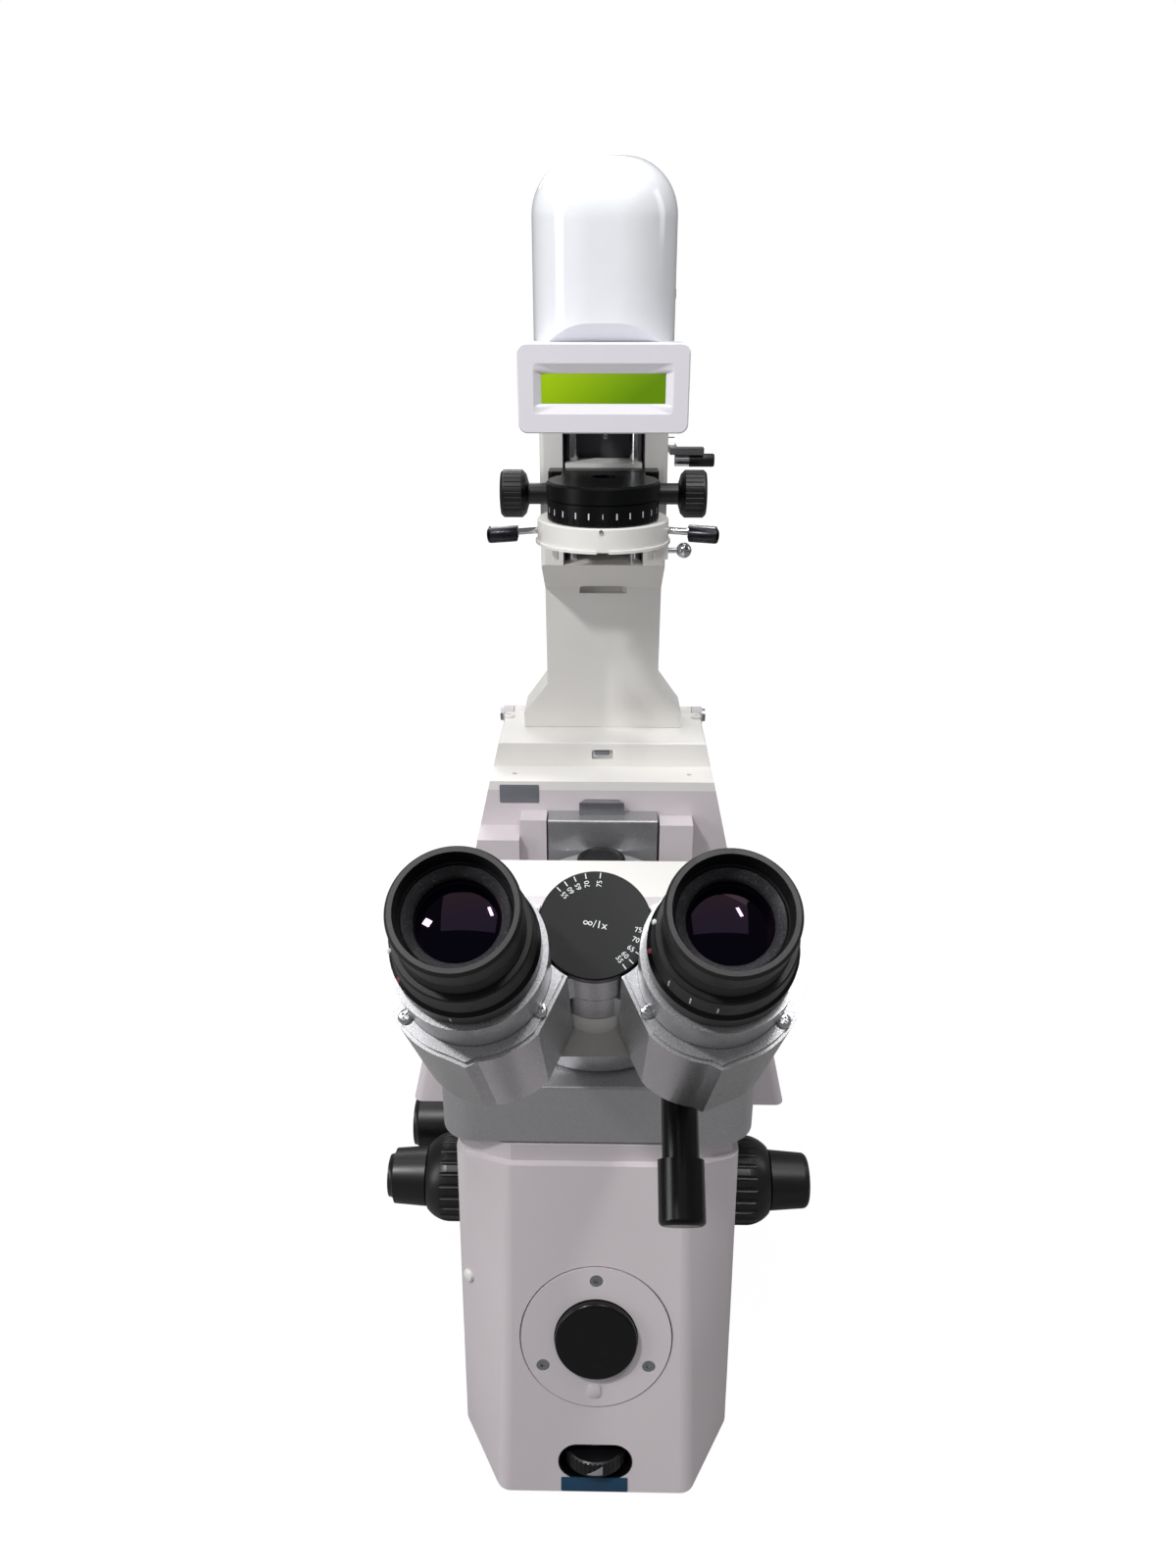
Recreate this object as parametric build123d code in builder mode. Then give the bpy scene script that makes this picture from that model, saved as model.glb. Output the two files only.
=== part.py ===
from build123d import *
import os
from math import acos, atan2, cos, degrees, radians, sin, tan

# Inverted microscope with a folding binocular tube and a tilting light carrier.
# Frame: millimetres, +Z up, +Y from the user towards the back, origin on the table
# under the middle of the instrument.

# Clearances
run_gap = 0.05          # radial, a shaft in its bore
slide_gap = 0.1         # each side of a slide
seat_gap = 0.3          # between faces that move past each other
swing_gap = 0.5         # round pieces that swing

# Light path
optic_y = 159.5         # objective axis behind the middle of the footprint
port_z = 95             # height of the camera ports' axis
beam_radius = 20        # light channels in the casting
lens_curve = 60         # radius of the tube lens's upper face

# Stand
foot_height = 4
foot_radius = 17
foot_x = 50
foot_front_y = optic_y - 340
foot_rear_y = optic_y + 140
base_thickness = 3
base_inset = 7
stand_half = 77
panel_foot_half = 52.5
panel_foot_y = optic_y - 400
facet_foot_y = optic_y - 355
panel_top_half = 47
panel_top_y = optic_y - 349
facet_top_y = optic_y - 340
shoulder_z = 191
corner_radius = 9
band_inset = 4          # shadow groove between the stand and the head block
head_seat_z = 202
stand_rear_y = optic_y + 172

# Upper stand: sloping skirts and the deck
skirt_z = 170
skirt_half = 112
skirt_front_y = optic_y - 273
deck_z = 245
deck_half = 95
deck_thickness = 8
front_support_y = optic_y - 153
front_support_depth = 53
bay_overhang = 12       # front support over the bay's edge
bay_front_y = optic_y - 112
bay_rear_y = optic_y + 44
bay_floor_z = 132
rear_support_depth = 34
stage_hole_radius = 2.1
stage_hole_x = 75
stage_hole_inset = 27   # from the front support's rear edge
stage_hole_rear = 17    # from the rear support's front edge
deck_cover_height = 22
deck_cover_rear_y = optic_y + 156
latch_width = 18
latch_height = 9
latch_depth = 4

# Head block that carries the viewing tube
head_half = 84
head_front_y = optic_y - 345
head_rear_y = optic_y - 228
head_top_z = 240
head_corner = 18
head_lip = 2

# Front port and brightness wheel, both on the leaning panel
port_cover_radius = 41.2
port_recess = 3
port_cover_proud = 0.6
port_cap_radius = 22.5
port_cap_height = 5
port_screw_circle = 33.5
port_screw_radius = 3.4
wheel_z = 22
wheel_slot_width = 41.5
wheel_slot_height = 21
wheel_radius = 17
wheel_thickness = 9
wheel_proud = 7
wheel_pin_radius = 2.5

# Focus drive
focus_y = optic_y - 245
focus_z = 85
fine_shaft_radius = 4
coarse_shaft_radius = 8
bush_radius = 12
bush_length = 14
coarse_knob_radius = 28
coarse_knob_length = 31
coarse_shoulder_radius = 21
fine_knob_radius = 19
fine_knob_taper = 1.6
fine_knob_length = 26
knob_gap = 3            # stand wall to coarse knob
flute_count = 24
flute_radius = 1.8

# Port selector on the left
selector_y = optic_y - 188
selector_z = 82
selector_radius = 22
selector_length = 37
selector_collar_radius = 13
selector_collar_length = 15
selector_shaft_radius = 6
selector_shaft_depth = 22

# Side port, mains inlet and rocker
side_port_radius = 30
side_port_thickness = 4
inlet_x = -36
inlet_z = 50
inlet_width = 31
inlet_height = 24
inlet_depth = 22
rocker_x = 6
rocker_width = 14
rocker_height = 20
rocker_throw = 9        # degrees

# Nosepiece
turret_tilt = 15
seat_z = 190            # height of the socket seat on the objective axis
socket_count = 6
socket_pitch = 43       # radius of the circle of sockets
socket_radius = 12.5
turret_radius = 64.6
turret_hub_radius = 24
turret_rim = 9
pivot_radius = 9
plate_thickness = 10
spot_depth = 1.3
cap_radius = 20
cap_height = 8
carriage_left = 45
carriage_right = 47
carriage_front_y = optic_y + 24
carriage_top_z = 218
carriage_bottom_z = 150
rail_half = 14
rail_depth = 8
rail_flare = 5
carriage_up = 5         # focus travel
carriage_down = 7

# Viewing tube: a plane whose normal is the eyepieces' direction
tube_tilt = 50
hinge_y = optic_y - 500.2
hinge_z = 430.9
arm_length = 40.5       # hinge to eyepiece axis
pupil_distance = 75
pupil_distance_least = 55
disc_radius = 18.3
disc_thickness = 4
knuckle_radius = 17.5
knuckle_height = 23
hinge_pin_radius = 6
web_half = 12.5
housing_depth = 72
housing_radius = 28.5
meeting_flat = 27        # eyepiece axis to the flat on the inner lower side
cover_thickness = 1.5
cover_proud = 0.5
cover_inset = 1.2
collar_radius = 24
collar_top = 19.4
barrel_radius = 15
barrel_depth = 27
ring_radius = 22.2
ring_height = 9
diopter_radius = 21.2
diopter_height = 9
eyecup_top = 55.8
eyecup_radius = 18.7
lens_radius = 12.4
lens_thickness = 4.5
eye_lens_curve = 45     # radius of the eye lens's outer face
neck_width = 56
neck_height = 52
neck_foot_width = 88
neck_foot_depth = 84
neck_y = optic_y - 288
ring_mount_radius = 46
ring_mount_height = 22
rod_x = 32
rod_radius = 7
rod_knob_radius = 8.7
rod_knob_length = 23
rod_reach = 33          # neck to knob
rod_inset = 22          # rod's axis behind the neck's end face
rod_depth = 34

# Light carrier
pivot_y = optic_y + 165
pivot_z = 262
ear_x = 83
ear_width = 10
ear_radius = 8
pivot_pin_radius = 4
column_half = 48.5
foot_half = 70
foot_top_z = 309
column_foot_front_y = optic_y + 117
column_front_y = optic_y + 100
channel_front_y = optic_y + 48
column_rear_y = optic_y + 172
brow_low_z = 398        # where the column's front face turns forward
channel_low_z = 428
channel_high_z = 575
channel_half = 31
channel_back_y = optic_y + 92
column_top_z = 592
guide_x = 25
guide_y = optic_y + 66
guide_radius = 5
guide_seat = 6

# Carrier head, display and lamp
arch_half = 47
arch_top_z = 700
arch_radius = 34
arch_plan_radius = 38
nose_y = optic_y - 52
nose_chin_z = 603
nose_rear_y = optic_y + 60
head_end_y = optic_y + 190
light_z = 640
tunnel_radius = 24
display_width = 109
display_height = 54
display_front_y = optic_y - 70
display_rear_y = optic_y - 28
display_radius = 6
bezel_width = 89
bezel_height = 30.5
bezel_depth = 3
window_width = 79
window_height = 18
window_thickness = 2
lamp_rear_y = optic_y + 243
lamp_half = 44
lamp_low_z = 597
lamp_high_z = 694
lamp_slot_count = 7
lamp_slot_length = 34
lamp_cavity = 35

# Condenser
plate_low_z = 459
plate_high_z = 475
plate_y = optic_y - 10
plate_radius = 47
lens_cell_radius = 22.5
plate_lip = 1.5
bearing_half = 29
bearing_rear_y = optic_y + 80
bearing_top_z = 505
condenser_turret_y = optic_y - 16
condenser_turret_radius = 39.5
condenser_turret_height = 14.5
condenser_cover_height = 11.5
condenser_pivot_radius = 6
filter_pitch = 16
filter_radius = 8.5
filter_count = 5
cross_y = optic_y + 39
cross_z = 484
cross_radius = 6.5
drive_half = 41
drive_front_y = optic_y + 25
drive_rear_y = optic_y + 46.5
drive_top_z = 502
sleeve_radius = 7.8
height_knob_radius = 17.5
height_knob_x = 58
height_knob_length = 19
centring_angle = 20
centring_z = 467
centring_stem_radius = 2.5
centring_knob_radius = 5
centring_knob_length = 20
centring_reach = 42
clamp_x = 48
clamp_y = optic_y - 18
clamp_z = 453
clamp_ball_radius = 5.5
clamp_stem_radius = 2
lever_y = optic_y + 110
lever_z = 512
lever_shaft_radius = 3
lever_shaft_depth = 18
lever_reach = 42
lever_arm_width = 12
lever_handle_radius = 4.5

pieces = {}


def keep(name, builder):
    """File a finished piece under its name."""
    pieces[name] = builder.part


def upright(y):
    """Plane facing the user at a distance y: sketch x is X, sketch y is Z."""
    return Plane(origin=(0, y, 0), x_dir=(1, 0, 0), z_dir=(0, -1, 0))


def sideways(x):
    """Plane facing +X: sketch x is Y, sketch y is Z."""
    return Plane(origin=(x, 0, 0), x_dir=(0, 1, 0), z_dir=(1, 0, 0))


def skirt_half_at(z):
    """Half width of the sloping upper stand at a height."""
    return deck_half + (deck_z - z) * (skirt_half - deck_half) / (deck_z - skirt_z)


def stand_outline(z, half, front_y, facet_y, inset=0.0):
    """Plan of the lower stand: a centre panel, two facets and straight sides."""
    with BuildSketch(Plane.XY.offset(z)) as outline:
        with BuildLine():
            Polyline(
                (-half, front_y), (half, front_y), (stand_half, facet_y), (stand_half, stand_rear_y),
                (-stand_half, stand_rear_y), (-stand_half, facet_y), close=True,
            )
        make_face()
        if inset:
            offset(amount=-inset, mode=Mode.REPLACE)
    return outline


def deck_slab(y_front, y_rear, z_low, z_high):
    """A slab of the upper stand, whose ends follow the skirts' slope."""
    low, high = skirt_half_at(z_low), skirt_half_at(z_high)
    with BuildPart() as slab:
        with BuildSketch(upright(y_rear)):
            with BuildLine():
                Polyline((-low, z_low), (low, z_low), (high, z_high), (-high, z_high), close=True)
            make_face()
        extrude(amount=y_rear - y_front)
    return slab.part


# The panel leans back: these give a plane on it at any height
panel_lean = atan2(panel_top_y - panel_foot_y, shoulder_z - foot_height)
panel_normal = (0, -cos(panel_lean), sin(panel_lean))


def panel_plane(z, out=0.0):
    """Plane on the leaning front panel, moved out from it by a distance."""
    y = panel_foot_y + (z - foot_height) * tan(panel_lean)
    plane = Plane(origin=(0, y, z), x_dir=(1, 0, 0), z_dir=panel_normal)
    return plane.offset(out)


# Stand casting
deck_cover_front_y = bay_rear_y + rear_support_depth
support_z = deck_z - deck_thickness
mirror_floor_z = port_z - 24
lens_shelf_z = bay_floor_z - 16
wheel_centre = wheel_proud - wheel_radius

with BuildPart() as stand_casting:
    loft(
        sections=[
            stand_outline(foot_height, panel_foot_half, panel_foot_y, facet_foot_y).sketch,
            stand_outline(shoulder_z, panel_top_half, panel_top_y, facet_top_y).sketch,
        ],
        ruled=True,
    )
    upright_edges = stand_casting.edges().filter_by(lambda edge: abs(edge.tangent_at(0.5).Z) > 0.5)
    fillet(upright_edges, corner_radius)
    add(stand_outline(shoulder_z, panel_top_half, panel_top_y, facet_top_y, band_inset).sketch)
    extrude(amount=head_seat_z - shoulder_z)
    add(deck_slab(skirt_front_y, stand_rear_y, skirt_z, deck_z))
    skirt_fronts = stand_casting.edges().filter_by(Axis.X, reverse=True).filter_by(
        lambda edge: abs(edge.center().Y - skirt_front_y) < 1 and abs(edge.center().X) > stand_half + 5
        and abs(edge.tangent_at(0.5).Z) > 0.5)
    fillet(skirt_fronts, 5)
    # seat of the head block, and the bay of the nosepiece
    with BuildSketch(Plane.XY.offset(head_seat_z)):
        with Locations((0, head_rear_y - 100)):
            Rectangle(2 * (head_half + swing_gap), 200)
    extrude(amount=deck_z, mode=Mode.SUBTRACT)
    with BuildSketch(Plane.XY.offset(bay_floor_z)):
        with Locations((0, (bay_front_y + bay_rear_y) / 2)):
            Rectangle(4 * skirt_half, bay_rear_y - bay_front_y)
    extrude(amount=deck_z, mode=Mode.SUBTRACT)
    # shoulders beside the nosepiece carriage
    for x_low, x_high, depth, top in (
        (-carriage_left - 24, -carriage_left - 1.5, bay_rear_y - carriage_front_y, carriage_top_z),
        (-skirt_half_at(carriage_top_z - 14), -carriage_left - 24, 30, carriage_top_z - 14),
        (carriage_right + 2, carriage_right + 30, bay_rear_y - carriage_front_y, carriage_top_z - 4),
    ):
        with BuildSketch(Plane.XY.offset(bay_floor_z)):
            with Locations(((x_low + x_high) / 2, bay_rear_y - depth / 2)):
                Rectangle(x_high - x_low, depth)
        extrude(amount=top - bay_floor_z)
    # pockets of the stage supports
    for y_front, y_rear in ((front_support_y, bay_front_y), (bay_rear_y, deck_cover_front_y)):
        with BuildSketch(Plane.XY.offset(support_z)):
            with Locations((0, (y_front + y_rear) / 2)):
                Rectangle(4 * skirt_half, y_rear - y_front)
        extrude(amount=2 * deck_thickness, mode=Mode.SUBTRACT)
    # hinge ears of the carrier
    for x in (-ear_x - ear_width, ear_x):
        with BuildSketch(sideways(x)):
            with Locations((pivot_y, pivot_z)):
                Circle(ear_radius)
            with Locations((pivot_y, (pivot_z + support_z) / 2)):
                Rectangle(2 * ear_radius - 2, pivot_z - support_z)
        extrude(amount=ear_width)
    with Locations(Plane(origin=(0, pivot_y, pivot_z), x_dir=(0, 1, 0), z_dir=(1, 0, 0))):
        Cylinder(pivot_pin_radius + run_gap, 3 * ear_x, mode=Mode.SUBTRACT)
    # light channels: down from the bay, forward to the front port, left to the side port
    with BuildSketch(Plane.XY.offset(mirror_floor_z)):
        with Locations((0, optic_y)):
            Circle(beam_radius + 2)
    extrude(amount=bay_floor_z - mirror_floor_z, mode=Mode.SUBTRACT)
    with BuildSketch(Plane.XY.offset(lens_shelf_z)):
        with Locations((0, optic_y)):
            Circle(beam_radius + 4)
    extrude(amount=bay_floor_z - lens_shelf_z, mode=Mode.SUBTRACT)
    with BuildSketch(upright(optic_y)):
        with Locations((0, port_z)):
            Circle(beam_radius)
    extrude(amount=2 * (optic_y - panel_foot_y), mode=Mode.SUBTRACT)
    with BuildSketch(sideways(0)):
        with Locations((optic_y, port_z)):
            Circle(beam_radius)
    extrude(amount=-2 * stand_half, mode=Mode.SUBTRACT)
    with BuildSketch(sideways(-stand_half)):
        with Locations((optic_y, port_z)):
            Circle(side_port_radius + seat_gap)
    extrude(amount=side_port_thickness / 2, mode=Mode.SUBTRACT)
    # front port recess and brightness wheel slot
    with BuildSketch(panel_plane(port_z, -port_recess)):
        Circle(port_cover_radius + 0.8)
    extrude(amount=2 * port_recess, mode=Mode.SUBTRACT)
    with BuildSketch(panel_plane(port_z, -port_recess)):
        with PolarLocations(port_screw_circle, 3, start_angle=90):
            Circle(port_screw_radius / 2)
    extrude(amount=-10, mode=Mode.SUBTRACT)
    with BuildSketch(panel_plane(wheel_z, wheel_centre - wheel_radius - 1)):
        SlotOverall(wheel_slot_width, wheel_slot_height)
    extrude(amount=4 * wheel_radius, mode=Mode.SUBTRACT)
    wheel_axis = Plane(panel_plane(wheel_z, wheel_centre).origin, x_dir=(1, 0, 0),
                       z_dir=panel_plane(wheel_z).y_dir)
    with Locations(wheel_axis):
        Cylinder(wheel_pin_radius + run_gap, wheel_slot_height + 4, mode=Mode.SUBTRACT)
    # focus shaft bore with a pocket for a bush at each wall, and the selector's bore
    with Locations(Plane(origin=(0, focus_y, focus_z), x_dir=(0, 1, 0), z_dir=(1, 0, 0))):
        Cylinder(coarse_shaft_radius + 1, 3 * stand_half, mode=Mode.SUBTRACT)
    for x, length in ((-stand_half, bush_length), (stand_half, -bush_length)):
        with BuildSketch(sideways(x)):
            with Locations((focus_y, focus_z)):
                Circle(bush_radius + run_gap)
        extrude(amount=length, mode=Mode.SUBTRACT)
    with BuildSketch(sideways(-stand_half)):
        with Locations((selector_y, selector_z)):
            Circle(selector_shaft_radius + run_gap)
    extrude(amount=selector_shaft_depth + 1, mode=Mode.SUBTRACT)
    # base plate's recess, inlet and rocker openings in the back
    add(stand_outline(foot_height, panel_foot_half, panel_foot_y, facet_foot_y, base_inset).sketch)
    extrude(amount=base_thickness, mode=Mode.SUBTRACT)
    with BuildSketch(upright(stand_rear_y)):
        with Locations((inlet_x, inlet_z)):
            Rectangle(inlet_width, inlet_height)
        with Locations((rocker_x, inlet_z)):
            Rectangle(rocker_width + 6, rocker_height + 6)
    extrude(amount=inlet_depth + 1, mode=Mode.SUBTRACT)
keep("stand_casting", stand_casting)

with BuildPart() as base_plate:
    add(stand_outline(foot_height, panel_foot_half, panel_foot_y, facet_foot_y, base_inset + 0.3).sketch)
    extrude(amount=base_thickness)
keep("base_plate", base_plate)

with BuildPart() as rubber_feet:
    with BuildSketch():
        for y in (foot_front_y, foot_rear_y):
            with Locations((-foot_x, y), (foot_x, y)):
                Circle(foot_radius)
    extrude(amount=foot_height)
    chamfer(rubber_feet.edges().group_by(Axis.Z)[0], 1)
keep("rubber_feet", rubber_feet)

with BuildPart() as head_block:
    with BuildSketch(Plane.XY.offset(head_seat_z)):
        with Locations((0, (head_front_y + head_rear_y) / 2)):
            Rectangle(2 * head_half, head_rear_y - head_front_y)
    extrude(amount=head_top_z - head_seat_z)
    fillet(head_block.edges().filter_by(Axis.Z).group_by(Axis.Y)[0], head_corner)
    chamfer(head_block.faces().sort_by(Axis.Z)[0].edges().sort_by(Axis.Y)[:3], head_lip)
    fillet(head_block.faces().sort_by(Axis.Z)[-1].edges().sort_by(Axis.Y)[:3], 1.5)
    with Locations((0, neck_y, head_top_z)):
        Hole(beam_radius + 5, depth=20)
keep("head_block", head_block)

# Stage supports: strips across the deck with the tapped holes that a stage bolts to
front_hole_y = bay_front_y + bay_overhang - stage_hole_inset
rear_hole_y = bay_rear_y + stage_hole_rear
with BuildPart() as front_stage_support:
    add(deck_slab(front_support_y + seat_gap, front_support_y + front_support_depth, support_z, deck_z))
    with Locations((-stage_hole_x, front_hole_y, deck_z), (stage_hole_x, front_hole_y, deck_z)):
        Hole(stage_hole_radius, depth=2 * deck_thickness)
keep("front_stage_support", front_stage_support)

with BuildPart() as rear_stage_support:
    add(deck_slab(bay_rear_y, deck_cover_front_y, support_z, deck_z))
    with Locations((-stage_hole_x, rear_hole_y, deck_z), (stage_hole_x, rear_hole_y, deck_z)):
        Hole(stage_hole_radius, depth=2 * deck_thickness)
keep("rear_stage_support", rear_stage_support)

with BuildPart() as rear_deck_cover:
    add(deck_slab(deck_cover_front_y, deck_cover_rear_y, deck_z, deck_z + deck_cover_height))
    fillet(rear_deck_cover.faces().sort_by(Axis.Z)[-1].edges().sort_by(Axis.Y)[:3], 1.5)
    with BuildSketch(upright(deck_cover_front_y)):
        with Locations((0, deck_z + deck_cover_height / 2)):
            RectangleRounded(latch_width, latch_height, 1.5)
    extrude(amount=-latch_depth, mode=Mode.SUBTRACT)
keep("rear_deck_cover", rear_deck_cover)

# Front port: a ring cover held by three screws, with a push-in cap in the middle
with BuildPart() as front_port_cover:
    with BuildSketch(panel_plane(port_z, -port_recess)):
        Circle(port_cover_radius)
        Circle(port_cap_radius + 0.5, mode=Mode.SUBTRACT)
    extrude(amount=port_recess + port_cover_proud)
    chamfer(front_port_cover.edges().filter_by(GeomType.CIRCLE).sort_by(Axis.Y)[:4].sort_by(SortBy.RADIUS)[-1:], 0.4)
    with BuildSketch(panel_plane(port_z, port_cover_proud)):
        with PolarLocations(port_screw_circle, 3, start_angle=90):
            Circle(port_screw_radius + 0.2)
    extrude(amount=-1.6, mode=Mode.SUBTRACT)
    with BuildSketch(panel_plane(port_z, port_cover_proud)):
        with PolarLocations(port_screw_circle, 3, start_angle=90):
            Circle(port_screw_radius / 2)
    extrude(amount=-2 * port_recess, mode=Mode.SUBTRACT)
keep("front_port_cover", front_port_cover)

with BuildPart() as front_port_screws:
    with BuildSketch(panel_plane(port_z, port_cover_proud - 1.6)):
        with PolarLocations(port_screw_circle, 3, start_angle=90):
            Circle(port_screw_radius)
    extrude(amount=1.2)
    with BuildSketch(panel_plane(port_z, port_cover_proud - 0.4)):
        with PolarLocations(port_screw_circle, 3, start_angle=90):
            RegularPolygon(port_screw_radius / 2, 6)
    extrude(amount=-0.9, mode=Mode.SUBTRACT)
    with BuildSketch(panel_plane(port_z, port_cover_proud - 1.6)):
        with PolarLocations(port_screw_circle, 3, start_angle=90):
            Circle(port_screw_radius / 2 - run_gap)
    extrude(amount=-8)
keep("front_port_screws", front_port_screws)

with BuildPart() as front_port_cap:
    with BuildSketch(panel_plane(port_z, -port_recess)):
        Circle(port_cap_radius)
    extrude(amount=port_recess + port_cap_height)
    fillet(front_port_cap.edges().sort_by(Axis.Y)[:1], 1.5)
    with BuildSketch(upright(panel_plane(port_z, -port_recess).origin.Y + 6)):
        with Locations((0, port_z)):
            Circle(beam_radius - slide_gap)
            Circle(beam_radius - 3, mode=Mode.SUBTRACT)
    extrude(amount=-8)
    with BuildSketch(upright(panel_plane(port_z, -port_recess).origin.Y + 6)):
        with Locations((0, port_z)):
            Circle(beam_radius - slide_gap)
    extrude(until=Until.NEXT)
keep("front_port_cap", front_port_cap)

with BuildPart() as side_port_cover:
    with BuildSketch(sideways(-stand_half + side_port_thickness / 2)):
        with Locations((optic_y, port_z)):
            Circle(side_port_radius)
    extrude(amount=-side_port_thickness)
    chamfer(side_port_cover.edges().sort_by(Axis.X)[:1], 1)
    with BuildSketch(sideways(-stand_half + side_port_thickness / 2)):
        with Locations((optic_y, port_z)):
            Circle(beam_radius - slide_gap)
            Circle(beam_radius - 3, mode=Mode.SUBTRACT)
    extrude(amount=6)
keep("side_port_cover", side_port_cover)

# Mains inlet: a moulded socket with three blades, and the power rocker beside it
with BuildPart() as mains_inlet:
    with BuildSketch(upright(stand_rear_y)):
        with Locations((inlet_x, inlet_z)):
            Rectangle(inlet_width - 2 * slide_gap, inlet_height - 2 * slide_gap)
    extrude(amount=inlet_depth)
    with BuildSketch(upright(stand_rear_y)):
        with Locations((inlet_x, inlet_z)):
            RectangleRounded(inlet_width + 8, inlet_height + 6, 2)
    extrude(amount=-2)
    with BuildSketch(upright(stand_rear_y + 2)):
        with Locations((inlet_x, inlet_z)):
            Rectangle(24, 16)
    extrude(amount=inlet_depth - 3, mode=Mode.SUBTRACT)
    with BuildSketch(upright(stand_rear_y + 2 - inlet_depth + 3)):
        with Locations((inlet_x - 7, inlet_z - 2), (inlet_x, inlet_z + 2), (inlet_x + 7, inlet_z - 2)):
            Rectangle(2, 4)
    extrude(amount=-(inlet_depth - 6))

rocker_y = stand_rear_y - 4
with BuildPart() as power_inlet_panel:
    add(mains_inlet.part)
    with BuildSketch(upright(stand_rear_y)):
        with Locations((rocker_x, inlet_z)):
            Rectangle(rocker_width + 6 - 2 * slide_gap, rocker_height + 6 - 2 * slide_gap)
            Rectangle(rocker_width + 2 * seat_gap, rocker_height + 2 * seat_gap + 2, mode=Mode.SUBTRACT)
    extrude(amount=inlet_depth)
    with BuildSketch(upright(stand_rear_y)):
        with Locations((rocker_x, inlet_z)):
            RectangleRounded(rocker_width + 10, rocker_height + 10, 1.5)
            Rectangle(rocker_width + 2 * seat_gap, rocker_height + 2 * seat_gap + 2, mode=Mode.SUBTRACT)
    extrude(amount=-1.5)
    with Locations(Plane(origin=(rocker_x, rocker_y, inlet_z), x_dir=(0, 1, 0), z_dir=(1, 0, 0))):
        Cylinder(1.5 + run_gap, rocker_width + 5, mode=Mode.SUBTRACT)
keep("power_inlet_panel", power_inlet_panel)

rocker_depth = 9
with BuildPart() as power_rocker:
    with BuildSketch(sideways(rocker_x - rocker_width / 2)):
        with BuildLine():
            low, high = inlet_z - rocker_height / 2, inlet_z + rocker_height / 2
            Polyline((rocker_y - rocker_depth, low + 3), (rocker_y + 3, low + 0.5), (rocker_y + 4.5, inlet_z),
                     (rocker_y + 5.5, high - 0.5), (rocker_y - rocker_depth, high - 3), close=True)
        make_face()
    extrude(amount=rocker_width)
    with Locations(Plane(origin=(rocker_x, rocker_y, inlet_z), x_dir=(0, 1, 0), z_dir=(1, 0, 0))):
        Cylinder(1.5, rocker_width + 4)
keep("power_rocker", power_rocker)

# Brightness wheel: a knurled disc on edge in its slot, on two stub pins
with BuildPart() as brightness_wheel:
    with Locations(wheel_axis):
        Cylinder(wheel_radius, wheel_thickness)
        Cylinder(wheel_pin_radius, wheel_slot_height + 3)
        Cylinder(wheel_pin_radius + 2.5, wheel_slot_height - 2 * seat_gap)
    chamfer(brightness_wheel.edges().filter_by(GeomType.CIRCLE).sort_by(SortBy.RADIUS)[-2:], 1)
    with Locations(wheel_axis):
        with PolarLocations(wheel_radius + 0.3, 40):
            Cylinder(0.8, wheel_thickness, mode=Mode.SUBTRACT)
keep("brightness_wheel", brightness_wheel)

# Light path inside the stand: a mirror block below the objective axis and the tube lens above it
with BuildPart() as light_path_mirror:
    with BuildSketch(Plane.XY.offset(mirror_floor_z)):
        with Locations((0, optic_y)):
            Circle(beam_radius + 2 - slide_gap)
    extrude(amount=lens_shelf_z - 1 - mirror_floor_z)
    mirror_face = Plane(origin=(0, optic_y, port_z), x_dir=(1, 0, 0), z_dir=(0, -1, 1))
    split(bisect_by=mirror_face, keep=Keep.BOTTOM)
keep("light_path_mirror", light_path_mirror)

with BuildPart() as tube_lens:
    with Locations((0, optic_y, lens_shelf_z + 4)):
        Cylinder(beam_radius - 1, 10)
    with Locations((0, optic_y, lens_shelf_z + 9 - lens_curve)):
        Sphere(lens_curve, mode=Mode.INTERSECT)
    with BuildSketch(Plane.XY.offset(lens_shelf_z)):
        with Locations((0, optic_y)):
            Circle(beam_radius + 4 - slide_gap)
            Circle(beam_radius - 2, mode=Mode.SUBTRACT)
    extrude(amount=8)
keep("tube_lens", tube_lens)

# Focus drive: bushes in the walls, a hollow coarse shaft, the fine shaft through it
def ring_on_x(y, z, x_low, x_high, radius, bore=0.0):
    """A plain tube along X."""
    with BuildPart() as ring:
        with BuildSketch(sideways(x_low)):
            with Locations((y, z)):
                Circle(radius)
                if bore:
                    Circle(bore, mode=Mode.SUBTRACT)
        extrude(amount=x_high - x_low)
    return ring.part


coarse_end = stand_half + knob_gap + coarse_knob_length
fine_end = coarse_end + seat_gap + fine_knob_length

with BuildPart() as focus_shaft_bushes:
    for x in (-stand_half, stand_half - bush_length):
        add(ring_on_x(focus_y, focus_z, x, x + bush_length, bush_radius, coarse_shaft_radius + run_gap))
keep("focus_shaft_bushes", focus_shaft_bushes)

with BuildPart() as coarse_focus_shaft:
    add(ring_on_x(focus_y, focus_z, -coarse_end + 4, coarse_end - 4, coarse_shaft_radius,
                  fine_shaft_radius + run_gap))
keep("coarse_focus_shaft", coarse_focus_shaft)

with BuildPart() as fine_focus_shaft:
    add(ring_on_x(focus_y, focus_z, -fine_end + 4, fine_end - 4, fine_shaft_radius, 0))
keep("fine_focus_shaft", fine_focus_shaft)


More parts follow.
